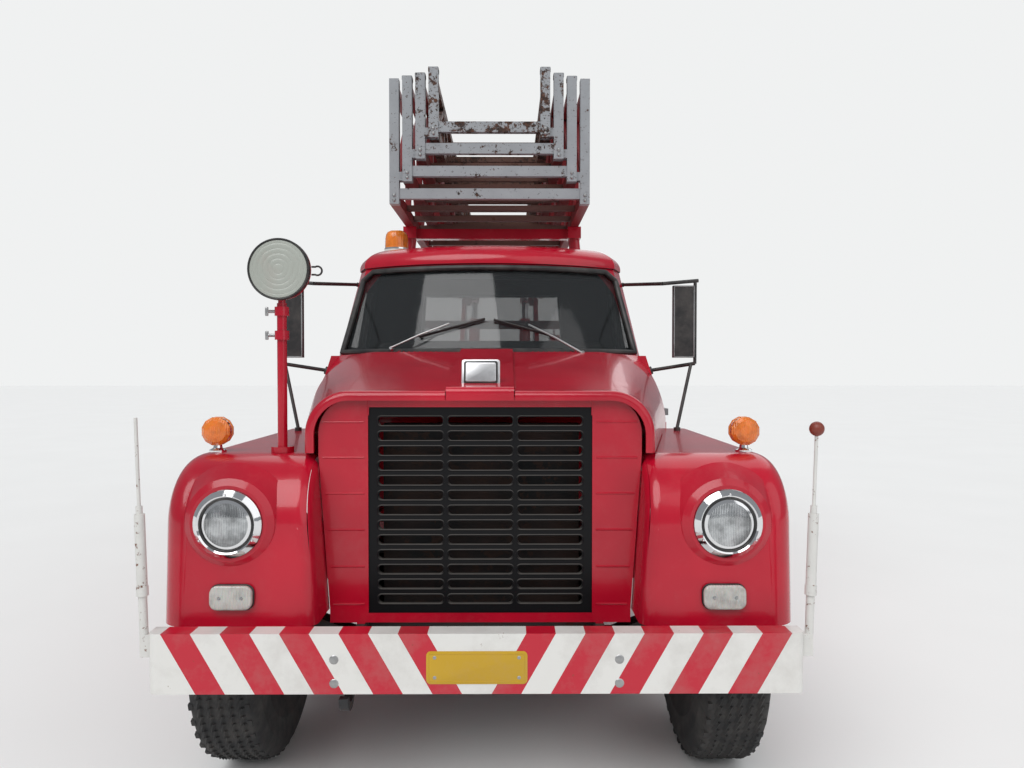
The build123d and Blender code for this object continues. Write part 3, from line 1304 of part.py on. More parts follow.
def make_front_rim(side):
    centre = side * FRONT_WHEEL_X
    with BuildPart() as piece:
        rim_barrel(centre, FRONT_AXLE_Y)
        bore_r = SPINDLE_R + BEARING_GAP
        ring(facing(side, FRONT_DISC), centre, FRONT_AXLE_Y)
        ring(facing(side, FRONT_HUB), centre, FRONT_AXLE_Y)
        bore = ((-60, 0), (-60, bore_r), (60, bore_r), (60, 0))
        ring(facing(side, bore), centre, FRONT_AXLE_Y, mode=Mode.SUBTRACT)
        hand_holes(side * (FRONT_WHEEL_X + 10), side * (FRONT_WHEEL_X + 90), FRONT_AXLE_Y)
    return piece


def make_rear_rim(side):
    centre = side * TWIN_MID_X
    with BuildPart() as piece:
        for offset_x in both_sides(TWIN_PITCH / 2):
            rim_barrel(centre + offset_x, REAR_AXLE_Y)
        for way in (1, -1):
            ring(facing(way, REAR_DISC), centre, REAR_AXLE_Y)
        ring(facing(side, REAR_HUB), centre, REAR_AXLE_Y)
        bore_r = REAR_SPINDLE_R + BEARING_GAP
        bore = ((-75, 0), (-75, bore_r), (25, bore_r), (25, 0))
        ring(facing(side, bore), centre, REAR_AXLE_Y, mode=Mode.SUBTRACT)
        hand_holes(side * (TWIN_MID_X - 60), side * (TWIN_MID_X + 60), REAR_AXLE_Y)
    return piece


for name, side in (("left", 1), ("right", -1)):
    twins = (side * (TWIN_MID_X - TWIN_PITCH / 2), side * (TWIN_MID_X + TWIN_PITCH / 2))
    save(make_tyre((side * FRONT_WHEEL_X,), FRONT_AXLE_Y), "tyre_front_" + name)
    save(make_front_rim(side), "rim_front_" + name)
    save(make_tyre(twins, REAR_AXLE_Y), "tyre_rear_" + name)
    save(make_rear_rim(side), "rim_rear_" + name)

# Turntable: platform, housing and two arms up to the ladder pivot
PLATFORM_Z = TURN_Z + SLEW_H + SEAT
STAND_Z = PLATFORM_Z + PLATFORM_T - 10
ARM_OUTLINE = (
    (TURN_Y - 100, STAND_Z),
    (PIVOT_Y - 30, STAND_Z),
    (PIVOT_Y + 75, PIVOT_Z - 90),
    (PIVOT_Y + 75, PIVOT_Z + 20),
    (PIVOT_Y + 40, PIVOT_Z + 62),
    (PIVOT_Y - 40, PIVOT_Z + 62),
    (PIVOT_Y - 90, PIVOT_Z),
    (TURN_Y - 70, 1600),
)
BASE_PLATE = (
    (LIFT_BASE_Y - 110, STAND_Z),
    (LIFT_BASE_Y + 110, STAND_Z),
    (LIFT_BASE_Y + 50, LIFT_BASE_Z + 50),
    (LIFT_BASE_Y - 50, LIFT_BASE_Z + 50),
)
with BuildPart() as turntable:
    rod((0, TURN_Y, PLATFORM_Z), (0, TURN_Y, PLATFORM_Z + PLATFORM_T), PLATFORM_R)
    for side in (1, -1):
        x0 = side * (PIVOT_ARM_X - PIVOT_ARM_T / 2)
        x1 = side * (PIVOT_ARM_X + PIVOT_ARM_T / 2)
        side_plate(ARM_OUTLINE, min(x0, x1), max(x0, x1))
        with Locations(((x0 + x1) / 2, PIVOT_Y, PIVOT_Z)):
            Cylinder(PIVOT_R + 0.5, PIVOT_ARM_T + 4, rotation=(0, 90, 0), mode=Mode.SUBTRACT)
        for x in (side * (LIFT_X - BARREL_R - 26), side * (LIFT_X + BARREL_R + 10)):
            x_far = x + side * 16
            side_plate(BASE_PLATE, min(x, x_far), max(x, x_far))
        pin_in = side * (LIFT_X - BARREL_R - 30)
        pin_out = side * (LIFT_X + BARREL_R + 30)
        rod((pin_in, LIFT_BASE_Y, LIFT_BASE_Z), (pin_out, LIFT_BASE_Y, LIFT_BASE_Z), EYE_PIN_R)
    # pump housing between the arms, and the operator's desk on the left
    block(-400, 400, TURN_Y - 360, TURN_Y + 100, STAND_Z, 1780)
    block(560, 660, TURN_Y - 150, TURN_Y + 200, STAND_Z, 1900)
save(turntable, "turntable")

# Ladder sections: two trussed sides, rungs between the bottom chords, handrails


def section_ends(index):
    return (LADDER_FRONT_Y - SECTION_FRONT_STEP * index, LADDER_REAR_Y - SECTION_REAR_STEP * index)


FRONT_POST_EXTRA = 8.0


def truss_side(index, x_in, x_out):
    """One trussed side as a plate with its triangular openings cut."""
    y0, y1 = section_ends(index)
    z0 = SECTION_BOTTOM[index]
    z1 = SECTION_TOP[index]
    low = z0 + CHORD_H
    high = z1 - HANDRAIL_H
    pitch = (y1 - y0 - CHORD_W) / SIDE_BAYS
    brace_y = BRACE_W * 0.5 * pitch / (high - low)
    brace_z = BRACE_W * 0.62
    with BuildSketch(Plane.YZ.offset(min(x_in, x_out))) as truss:
        with Locations(((y0 + y1) / 2, (z0 + z1) / 2)):
            Rectangle(y1 - y0, z1 - z0)
        for bay in range(SIDE_BAYS):
            start = y0 + CHORD_W / 2 + bay * pitch + POST_W / 2
            end = start + pitch - POST_W
            if bay == 0:
                start += FRONT_POST_EXTRA
            near, far = (start, end) if bay % 2 == 0 else (end, start)
            lean = brace_y + 10 if bay % 2 == 0 else -brace_y - 10
            upper = ((near, low + brace_z), (near, high), (far - lean, high))
            lower = ((near + lean, low), (far, low), (far, high - brace_z))
            for triangle in (upper, lower):
                with BuildLine():
                    Polyline(*triangle, close=True)
                make_face(mode=Mode.SUBTRACT)
    extrude(truss.sketch, amount=abs(x_out - x_in))


CHORD_IN = 20.0
PLATE_T = 34.0


def make_section(index):
    """One ladder section: two trussed sides with guide pads, and rungs between them."""
    half = SECTION_HALF[index]
    y0, y1 = section_ends(index)
    z0 = SECTION_BOTTOM[index]
    inner = half - CHORD_W
    with BuildPart() as piece:
        for side in (1, -1):
            truss_side(index, side * (half - PLATE_T), side * half)
            block(side * inner, side * (inner + CHORD_IN), y0, y1, z0, z0 + CHORD_H)
            block(side * inner, side * half, y0, y0 + CHORD_W, z0, SECTION_TOP[index])
            if index < len(SECTION_HALF) - 1:
                next_z = SECTION_BOTTOM[index + 1]
                pad_in = side * (SECTION_HALF[index + 1] + SEAT)
                block(pad_in, side * (inner + 5), y0, y0 + CHORD_W, next_z + 8, next_z + CHORD_H - 8)
        rung_z = z0 + RUNG_RISE
        pitch = (y1 - y0 - CHORD_W) / RUNGS
        for rung in range(RUNGS + 1):
            y = y0 + CHORD_W / 2 + rung * pitch
            reach = inner - SEAT
            rung_top = rung_z + (FRONT_BAR_H if rung == 0 else RUNG_H)
            block(-reach, reach, y - RUNG_W / 2, y + RUNG_W / 2, rung_z, rung_top)
    return piece


for index, name in enumerate(("ladder_base", "ladder_2", "ladder_3", "ladder_4")):
    save(make_section(index), name)

# Brackets under the base section: ears for the cylinders in front, pivot lugs behind
LIFT_EYE_Y = PIVOT_Y - LIFT_ARM
LUG_FOOT_Z = PIVOT_Z - 40.0
LUG_TOP_Z = SECTION_BOTTOM[0] + 20.0
CROSSBAR_W = 40.0
LUG = (
    (PIVOT_Y - 160, LUG_TOP_Z),
    (PIVOT_Y - 60, LUG_FOOT_Z),
    (PIVOT_Y + 60, LUG_FOOT_Z),
    (PIVOT_Y + 160, LUG_TOP_Z),
)
EAR = (
    (LIFT_EYE_Y - 140, LUG_TOP_Z),
    (LIFT_EYE_Y - 40, LUG_FOOT_Z),
    (LIFT_EYE_Y + 40, LUG_FOOT_Z),
    (LIFT_EYE_Y + 140, LUG_TOP_Z),
)
with BuildPart() as ladder_brackets:
    reach = SECTION_HALF[0] - CHORD_W - SEAT
    bar_z = (SECTION_BOTTOM[0], SECTION_BOTTOM[0] + RUNG_RISE - SEAT)
    for y in (LIFT_EYE_Y - 160, LIFT_EYE_Y + 110, PIVOT_Y - 150, PIVOT_Y + 110):
        block(-reach, reach, y, y + CROSSBAR_W, *bar_z)
    lug_out = PIVOT_ARM_X - PIVOT_ARM_T / 2 - 8
    for side in (1, -1):
        x0 = side * (lug_out - 40)
        x1 = side * lug_out
        side_plate(LUG, min(x0, x1), max(x0, x1))
        pin_end = side * (PIVOT_ARM_X + PIVOT_ARM_T / 2 + 10)
        rod((x0, PIVOT_Y, PIVOT_Z), (pin_end, PIVOT_Y, PIVOT_Z), PIVOT_R)
        for x in (side * (LIFT_X - EYE_W / 2 - 22), side * (LIFT_X + EYE_W / 2 + 6)):
            far = x + side * 16
            side_plate(EAR, min(x, far), max(x, far))
save(ladder_brackets, "ladder_brackets")

# Lift cylinders: barrels pinned to the turntable, rods up to the base section
LIFT_TOP = Vector(0, PIVOT_Y - LIFT_ARM, PIVOT_Z)
LIFT_BASE = Vector(0, LIFT_BASE_Y, LIFT_BASE_Z)
LIFT_DIR = (LIFT_TOP - LIFT_BASE).normalized()
with BuildPart() as lift_barrels:
    for x in both_sides(LIFT_X):
        shift = Vector(x, 0, 0)
        start = LIFT_BASE + shift
        rod((start + LIFT_DIR * 34), (start + LIFT_DIR * BARREL_L), BARREL_R)
        half_eye = EYE_W / 2
        rod((x - half_eye, LIFT_BASE_Y, LIFT_BASE_Z), (x + half_eye, LIFT_BASE_Y, LIFT_BASE_Z), EYE_R)
        pin = ((x - 60, LIFT_BASE_Y, LIFT_BASE_Z), (x + 60, LIFT_BASE_Y, LIFT_BASE_Z))
        rod(*pin, EYE_PIN_R + BEARING_GAP, mode=Mode.SUBTRACT)
        bore_start = start + LIFT_DIR * 90
        rod(bore_start, (start + LIFT_DIR * (BARREL_L + 5)), ROD_R + 0.5, mode=Mode.SUBTRACT)
save(lift_barrels, "lift_barrels")
with BuildPart() as lift_rods:
    for x in both_sides(LIFT_X):
        top = LIFT_TOP + Vector(x, 0, 0)
        bottom = LIFT_BASE + Vector(x, 0, 0) + LIFT_DIR * 110
        rod(bottom, (top - LIFT_DIR * 20), ROD_R)
        rod((x - EYE_W / 2, top.Y, top.Z), (x + EYE_W / 2, top.Y, top.Z), EYE_R)
save(lift_rods, "lift_rods")

# Jack legs with foot plates
JACK_FOOT_T = 26.0
for side_name, side in (("left", 1), ("right", -1)):
    for place, y in zip(("front", "rear"), JACK_Y):
        with BuildPart() as jack:
            x = side * JACK_X
            half = JACK_LEG / 2
            block(x - half, x + half, y - half, y + half, JACK_FOOT_Z + JACK_FOOT_T, JACK_BOX_TOP - 60)
            block(x - 105, x + 105, y - 100, y + 100, JACK_FOOT_Z, JACK_FOOT_Z + JACK_FOOT_T)
        save(jack, "jack_" + side_name + "_" + place)

# Beacon on the cab roof
BEACON = (-530.0, CAB_REAR_Y - 280.0)
BEACON_R = 73.0
with BuildPart() as beacon:
    z = ROOF_TOP + SEAT
    rod((*BEACON, z), (*BEACON, z + 30), BEACON_R)
    rod((*BEACON, z + 30), (*BEACON, z + 140), BEACON_R - 8)
    fillet(beacon.edges().sort_by(Axis.Z)[-1:], 30)
save(beacon, "beacon")

# Searchlight on its pole on the right fender
POLE = (-710.0, FENDER_FRONT_Y + 270.0)
POLE_R = 17.0
POLE_TOP = 1770.0
SEARCH_Z = 1887.0
SEARCH_R = 107.0
SEARCH_FRONT = 40.0
# rows of radius and distance behind the pole
SEARCH_BOWL = (
    (0, -SEARCH_FRONT),
    (SEARCH_R - 8, -SEARCH_FRONT),
    (SEARCH_R, -SEARCH_FRONT + 8),
    (SEARCH_R, -6),
    (80, 56),
    (40, 80),
    (0, 86),
)
with BuildPart() as searchlight:
    rod((*POLE, FENDER_TOP + SEAT), (*POLE, FENDER_TOP + 20), 40)
    rod((*POLE, FENDER_TOP + 10), (*POLE, POLE_TOP), POLE_R)
    for z in (1640, 1725):
        rod((*POLE, z), (*POLE, z + 32), POLE_R + 8)
    rod((*POLE, POLE_TOP - 10), (*POLE, SEARCH_Z - 40), POLE_R - 4)
    with BuildSketch(Plane(origin=(*POLE, SEARCH_Z), x_dir=(1, 0, 0), z_dir=(0, 0, 1))):
        with BuildLine():
            Polyline(*SEARCH_BOWL, close=True)
        make_face()
    revolve(axis=Axis((*POLE, SEARCH_Z), (0, 1, 0)))
save(searchlight, "searchlight")
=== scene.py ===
import bmesh
import bpy
import math
from mathutils import Matrix, Vector
from mathutils.bvhtree import BVHTree


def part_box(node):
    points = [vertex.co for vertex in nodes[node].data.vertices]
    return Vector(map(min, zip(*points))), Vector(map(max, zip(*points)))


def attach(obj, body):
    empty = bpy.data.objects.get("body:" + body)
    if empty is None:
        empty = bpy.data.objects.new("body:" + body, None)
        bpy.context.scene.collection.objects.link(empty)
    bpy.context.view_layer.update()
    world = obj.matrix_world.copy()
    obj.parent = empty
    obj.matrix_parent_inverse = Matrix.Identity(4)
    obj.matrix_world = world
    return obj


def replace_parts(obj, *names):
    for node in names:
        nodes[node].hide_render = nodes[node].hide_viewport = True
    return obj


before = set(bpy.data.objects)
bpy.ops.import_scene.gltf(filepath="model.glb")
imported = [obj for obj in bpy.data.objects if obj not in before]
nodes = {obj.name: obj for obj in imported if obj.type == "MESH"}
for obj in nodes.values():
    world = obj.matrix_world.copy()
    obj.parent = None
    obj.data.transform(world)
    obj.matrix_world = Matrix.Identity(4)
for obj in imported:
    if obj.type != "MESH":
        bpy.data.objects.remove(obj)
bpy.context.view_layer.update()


# Camera and light

PHOTO_MIDDLE = (508, 384)
PHOTO_FOCUS = 769
CAMERA_X = 0.096
CAMERA_TO_BUMPER = 2.35
CAMERA_Z = 1.54
CAMERA_PITCH = math.radians(1.2)
CAMERA_YAW = math.radians(0.3)
SENSOR_WIDTH = 36.0
LENS = 27.03
BUMPER_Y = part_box("front_bumper")[0][1]


def make_camera():
    data = bpy.data.cameras.new("camera")
    data.lens = LENS
    data.sensor_width = SENSOR_WIDTH
    data.clip_end = 200.0
    camera = bpy.data.objects.new("camera", data)
    bpy.context.scene.collection.objects.link(camera)
    camera.location = (CAMERA_X, BUMPER_Y - CAMERA_TO_BUMPER, CAMERA_Z)
    camera.rotation_euler = (math.pi / 2 - CAMERA_PITCH, 0.0, -CAMERA_YAW)
    bpy.context.scene.camera = camera


def sun_light(name, heading, height, softness, strength):
    data = bpy.data.lights.new(name, "SUN")
    data.energy = strength
    data.angle = math.radians(softness)
    lamp = bpy.data.objects.new(name, data)
    bpy.context.scene.collection.objects.link(lamp)
    lamp.rotation_euler = (math.radians(90 - height), 0.0, math.radians(heading))


def make_lights():
    sun_light("key_light", -28, 50, 50, 2.0)
    sun_light("fill_light", 48, 30, 60, 0.7)
    sun_light("back_light", 165, 45, 60, 0.7)


def make_world():
    world = bpy.data.worlds.new("studio")
    bpy.context.scene.world = world
    world.use_nodes = True
    tree = world.node_tree
    tree.nodes.clear()
    out = tree.nodes.new("ShaderNodeOutputWorld")
    lit = tree.nodes.new("ShaderNodeBackground")
    lit.inputs["Color"].default_value = (0.86, 0.9, 0.95, 1)
    lit.inputs["Strength"].default_value = 0.32
    seen = tree.nodes.new("ShaderNodeBackground")
    seen.inputs["Color"].default_value = (0.87, 0.88, 0.88, 1)
    path = tree.nodes.new("ShaderNodeLightPath")
    mix = tree.nodes.new("ShaderNodeMixShader")
    tree.links.new(path.outputs["Is Camera Ray"], mix.inputs[0])
    tree.links.new(lit.outputs[0], mix.inputs[1])
    tree.links.new(seen.outputs[0], mix.inputs[2])
    tree.links.new(mix.outputs[0], out.inputs["Surface"])


def make_floor():
    form = bmesh.new()
    bmesh.ops.create_grid(form, x_segments=1, y_segments=1, size=60)
    floor = finish_mesh("studio_floor", form, [pale_floor()])


# Shared helpers


def finish_mesh(name, form, materials, smooth=None):
    """Turn a bmesh into a named object at the origin."""
    mesh = bpy.data.meshes.new(name)
    form.to_mesh(mesh)
    form.free()
    piece = bpy.data.objects.new(name, mesh)
    bpy.context.scene.collection.objects.link(piece)
    for material in materials:
        mesh.materials.append(material)
    if smooth is not None:
        mesh.shade_smooth()
        mesh.set_sharp_from_angle(angle=math.radians(smooth))
    return piece


class Piece:
    """One named object built from mesh operators, with a finish for each group of faces."""

    def __init__(self, name, *finishes):
        self.name = name
        self.finishes = finishes
        self.form = bmesh.new()
        self.group = 0

    def mark(self, before):
        for face in self.form.faces:
            if face not in before:
                face.material_index = self.group

    def bar(self, start, end, radius, end_radius=None, sides=16):
        """A round or many-sided bar between two points."""
        before = set(self.form.faces)
        start, end = Vector(start), Vector(end)
        turn = (end - start).to_track_quat("Z", "Y").to_matrix().to_4x4()
        bmesh.ops.create_cone(
            self.form,
            cap_ends=True,
            segments=sides,
            radius1=radius,
            radius2=radius if end_radius is None else end_radius,
            depth=(end - start).length,
            matrix=Matrix.Translation((start + end) / 2) @ turn,
        )
        self.mark(before)

    def round_edges(self, edges, radius, steps):
        bmesh.ops.bevel(
            self.form, geom=edges, offset=radius, segments=steps, profile=0.5, affect="EDGES", material=-1
        )

    def slab(self, low, high, edge=0.0, steps=2, corner=0.0, along=None):
        """A box between two corners; its edges along one axis can be rounded more than the rest."""
        before = set(self.form.faces)
        low, high = Vector(low), Vector(high)
        size = Matrix.Diagonal((*(high - low), 1))
        made = bmesh.ops.create_cube(self.form, size=1, matrix=Matrix.Translation((low + high) / 2) @ size)
        if corner:
            chosen = {e for v in made["verts"] for e in v.link_edges}
            chosen = [e for e in chosen if abs((e.verts[0].co - e.verts[1].co)[along]) > 1e-6]
            self.round_edges(chosen, corner, 6)
        if edge:
            faces = [f for f in self.form.faces if f not in before]
            chosen = [e for e in {e for f in faces for e in f.edges} if e.calc_face_angle(0) > 0.8]
            self.round_edges(chosen, edge, steps)
        self.mark(before)

    def turned(self, outline, centre, axis, sides=40):
        """An outline of radius and distance along the axis, spun round it."""
        before = set(self.form.faces)
        centre, axis = Vector(centre), Vector(axis).normalized()
        across = axis.orthogonal().normalized()
        row = [self.form.verts.new(centre + across * r + axis * d) for r, d in outline]
        edges = [self.form.edges.new(pair) for pair in zip(row, row[1:])]
        bmesh.ops.spin(
            self.form,
            geom=row + edges,
            cent=centre,
            axis=axis,
            angle=2 * math.pi,
            steps=sides,
            use_merge=True,
        )
        faces = [f for f in self.form.faces if f not in before]
        verts = list({v for f in faces for v in f.verts})
        bmesh.ops.remove_doubles(self.form, verts=verts, dist=1e-5)
        self.mark(before)

    def orb(self, centre, radius, sides=20):
        before = set(self.form.faces)
        place = Matrix.Translation(centre)
        bmesh.ops.create_uvsphere(
            self.form, u_segments=sides, v_segments=sides // 2, radius=radius, matrix=place
        )
        self.mark(before)

    def pipe(self, points, radius, closed=False, sides=3):
        """A round line through points."""
        before = set(self.form.faces)
        line = bpy.data.curves.new(self.name + "_line", "CURVE")
        line.dimensions = "3D"
        line.bevel_depth = radius
        line.bevel_resolution = sides
        line.use_fill_caps = True
        spline = line.splines.new("POLY")
        spline.points.add(len(points) - 1)
        for point, place in zip(spline.points, points):
            point.co = (*place, 1)
        spline.use_cyclic_u = closed
        holder = bpy.data.objects.new(self.name + "_line", line)
        mesh = bpy.data.meshes.new_from_object(holder)
        self.form.from_mesh(mesh)
        bpy.data.objects.remove(holder)
        bpy.data.curves.remove(line)
        bpy.data.meshes.remove(mesh)
        self.mark(before)

    def around(self, geom_from, centre, axis, count):
        """Repeat the faces made since a mark, evenly round an axis."""
        faces = [f for f in self.form.faces if f not in geom_from]
        geom = faces + list({e for f in faces for e in f.edges}) + list({v for f in faces for v in f.verts})
        bmesh.ops.spin(
            self.form,
            geom=geom,
            cent=centre,
            axis=axis,
            angle=2 * math.pi * (count - 1) / count,
            steps=count - 1,
            use_duplicate=True,
        )

    def show(self, body="chassis", smooth=35, place=None):
        if place is not None:
            bmesh.ops.transform(self.form, matrix=place, verts=self.form.verts)
        bmesh.ops.recalc_face_normals(self.form, faces=self.form.faces)
        piece = finish_mesh(self.name, self.form, [FINISH[f] for f in self.finishes], smooth)
        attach(piece, body)
        return piece


def corners_of(node):
    """The low and high corners of a CAD node's box."""
    return [Vector(c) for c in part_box(node)]


def surface_of(*names):
    """The outer surface of some CAD nodes, to set pieces down on."""
    points, faces = [], []
    for name in names:
        mesh = nodes[name].data
        start = len(points)
        points += [v.co.copy() for v in mesh.vertices]
        faces += [[start + i for i in p.vertices] for p in mesh.polygons]
    return BVHTree.FromPolygons(points, faces)


def set_down(tree, start, direction, lift):
    """The point where a line from the start meets the surface, lifted off it."""
    place, normal, _, _ = tree.ray_cast(Vector(start), Vector(direction).normalized())
    if normal.dot(Vector(direction)) > 0:
        normal = -normal
    return place + normal * lift


def seen_at(tree, px, py, lift):
    """The point of the surface that the camera sees at one place of the photograph."""
    start = (CAMERA_X, BUMPER_Y - CAMERA_TO_BUMPER, CAMERA_Z)
    drop = math.tan(math.atan((py - PHOTO_MIDDLE[1]) / PHOTO_FOCUS) + CAMERA_PITCH)
    return set_down(tree, start, ((px - PHOTO_MIDDLE[0]) / PHOTO_FOCUS, 1, -drop), lift)


def dense(points, step, closed=True):
    """More points along a run of straight lines."""
    ends = list(zip(points, points[1:] + points[:1])) if closed else list(zip(points, points[1:]))
    row = []
    for a, b in ends:
        a, b = Vector(a), Vector(b)
        count = max(1, round((b - a).length / step))
        row += [a.lerp(b, i / count) for i in range(count)]
    return row if closed else row + [Vector(points[-1])]


def mirrored(make):
    """Make a piece for each side, the left one first."""
    for side, word in ((1, "left"), (-1, "right")):
        make(side, word)


class Shader:
    """A material's node tree with short ways to add and join its nodes."""

    def __init__(self, name):
        self.material = bpy.data.materials.new(name)
        self.material.use_nodes = True
        self.tree = self.material.node_tree
        self.surface = self.tree.nodes["Principled BSDF"]
        places = self.add("ShaderNodeTexCoord")
        self.coords = places.outputs["Object"]
        self.normals = places.outputs["Normal"]

    def add(self, kind, **values):
        node = self.tree.nodes.new(kind)
        for key, value in values.items():
            setattr(node, key, value)
        return node

    def join(self, source, target):
        self.tree.links.new(source, target)

    def noise(self, scale, detail=4.0, rough=0.55, coords=None):
        node = self.add("ShaderNodeTexNoise")
        node.inputs["Scale"].default_value = scale
        node.inputs["Detail"].default_value = detail
        node.inputs["Roughness"].default_value = rough
        self.join(coords or self.coords, node.inputs["Vector"])
        return node.outputs["Fac"]

    def ramp(self, source, low, high):
        node = self.add("ShaderNodeMapRange")
        node.inputs["From Min"].default_value = low
        node.inputs["From Max"].default_value = high
        self.join(source, node.inputs["Value"])
        return node.outputs["Result"]

    def math(self, operation, a, b=None):
        node = self.add("ShaderNodeMath", operation=operation)
        for slot, value in ((0, a), (1, b)):
            if value is None:
                continue
            if isinstance(value, (int, float)):
                node.inputs[slot].default_value = value
            else:
                self.join(value, node.inputs[slot])
        return node.outputs[0]

    def blend(self, factor, a, b):
        """Mix two colours, each a tuple or a socket."""
        node = self.add("ShaderNodeMix", data_type="RGBA")
        self.join(factor, node.inputs[0])
        for slot, value in ((6, a), (7, b)):
            if isinstance(value, tuple):
                node.inputs[slot].default_value = (*value, 1)
            else:
                self.join(value, node.inputs[slot])
        return node.outputs[2]

    def level(self, factor, a, b):
        """Mix two numbers."""
        node = self.add("ShaderNodeMapRange")
        node.inputs["To Min"].default_value = a
        node.inputs["To Max"].default_value = b
        self.join(factor, node.inputs["Value"])
        return node.outputs["Result"]

    def bump(self, height, strength, distance=0.001):
        node = self.add("ShaderNodeBump")
        node.inputs["Strength"].default_value = strength
        node.inputs["Distance"].default_value = distance
        self.join(height, node.inputs["Height"])
        self.join(node.outputs["Normal"], self.surface.inputs["Normal"])

    def colour_from(self, source):
        self.join(source, self.surface.inputs["Base Color"])

    def roughness_from(self, source):
        self.join(source, self.surface.inputs["Roughness"])

    def axes(self, source):
        """The x, y and z of a place or a direction."""
        split = self.add("ShaderNodeSeparateXYZ")
        self.join(source, split.inputs[0])
        return split.outputs

    def set(self, **values):
        for key, value in values.items():
            self.surface.inputs[key.replace("_", " ")].default_value = value


# Finishes

RED = (0.50, 0.005, 0.024)
RED_DEEP = (0.38, 0.003, 0.018)
WHITE = (0.72, 0.71, 0.68)
BLACK = (0.012, 0.012, 0.013)
RUST = (0.16, 0.055, 0.025)
RUST_DARK = (0.05, 0.022, 0.014)
SILVER = (0.33, 0.35, 0.37)


def pale_floor():
    s = Shader("pale_floor")
    tone = s.noise(0.8, 2.0)
    s.colour_from(s.blend(tone, (0.80, 0.80, 0.79), (0.84, 0.84, 0.83)))
    s.set(Roughness=0.9, Specular_IOR_Level=0.1)
    return s.material


def gloss_paint(name, colour, deep, roughness=0.22, dust=0.05):
    """Glossy paint with cloudy tone, patches of dust and a slight ripple."""
    s = Shader(name)
    cloud = s.ramp(s.noise(2.3, 3.0), 0.35, 0.65)
    tone = s.blend(cloud, deep, colour)
    film = s.ramp(s.noise(9.0, 6.0, 0.7), 0.52, 0.80)
    film = s.math("MULTIPLY", film, dust)
    tone = s.blend(film, tone, (0.46, 0.30, 0.27))
    s.colour_from(tone)
    s.roughness_from(s.level(s.noise(30.0, 5.0), roughness * 0.8, roughness * 1.35))
    s.set(Coat_Weight=0.4, Coat_Roughness=0.06, Specular_IOR_Level=0.35)
    s.bump(s.noise(55.0, 2.0), 0.035)
    return s.material


def worn_paint(name, colour, under, amount, scale=14.0, roughness=0.5, metallic=0.0):
    """Old paint that has flaked down to rust in patches."""
    s = Shader(name)
    patch = s.noise(scale, 8.0, 0.68)
    chips = s.ramp(patch, 0.62 - amount * 0.25, 0.66 - amount * 0.25)
    stain = s.ramp(s.noise(scale * 0.35, 6.0, 0.6), 0.40, 0.75)
    stain = s.math("MULTIPLY", stain, 0.45)
    tone = s.blend(s.noise(scale * 0.6, 3.0), tuple(c * 0.85 for c in colour), colour)
    tone = s.blend(stain, tone, tuple(0.5 * (a + b) for a, b in zip(colour, RUST)))
    bare = s.blend(s.noise(scale * 4, 4.0), under, RUST_DARK)
    s.colour_from(s.blend(chips, tone, bare))
    s.roughness_from(s.level(chips, roughness, 0.85))
    s.set(Metallic=metallic)
    s.bump(s.math("ADD", s.math("MULTIPLY", chips, -0.6), s.noise(scale * 6, 4.0)), 0.25)
    return s.material


def plain_metal(name, colour, roughness, metallic=1.0, grime=0.3):
    s = Shader(name)
    spots = s.math("MULTIPLY", s.ramp(s.noise(24.0, 7.0, 0.65), 0.5, 0.75), grime)
    s.colour_from(s.blend(spots, colour, (0.05, 0.045, 0.04)))
    shine = s.level(s.noise(40.0, 4.0), roughness * 0.75, min(1.0, roughness * 1.4))
    s.roughness_from(shine)
    s.set(Metallic=metallic)
    s.bump(s.noise(120.0, 3.0), 0.05)
    return s.material


def clear_glass(name, tint, alpha):
    """Thin window glass that lets the inside show."""
    s = Shader(name)
    haze = s.noise(7.0, 5.0, 0.6)
    s.colour_from(s.blend(haze, tint, tuple(c * 0.8 for c in tint)))
    s.roughness_from(s.level(haze, 0.02, 0.09))
    s.set(Alpha=alpha, Specular_IOR_Level=0.8)
    return s.material


def lens_plastic(name, colour, ribs, direction):
    """Moulded lamp lens with fine ribs."""
    s = Shader(name)
    split = s.axes(s.coords)
    wave = s.math("SINE", s.math("MULTIPLY", split[direction], ribs))
    dirt = s.ramp(s.noise(30.0, 6.0, 0.6), 0.45, 0.8)
    s.colour_from(s.blend(dirt, colour, tuple(c * 0.55 for c in colour)))
    s.set(Roughness=0.16, Coat_Weight=0.6, Coat_Roughness=0.05, Subsurface_Weight=0.2)
    s.bump(wave, 0.45, 0.0012)
    return s.material


def rubber(name, colour, roughness):
    s = Shader(name)
    dust = s.math("MULTIPLY", s.ramp(s.noise(11.0, 6.0, 0.7), 0.4, 0.8), 0.6)
    s.colour_from(s.blend(dust, colour, (0.11, 0.10, 0.09)))
    s.roughness_from(s.level(s.noise(60.0), roughness * 0.85, roughness))
    s.bump(s.noise(180.0, 3.0), 0.15)
    return s.material


DECK_TOP = 1.290
DECK_THICK = 0.0405
SUBFRAME_HALF = 0.52


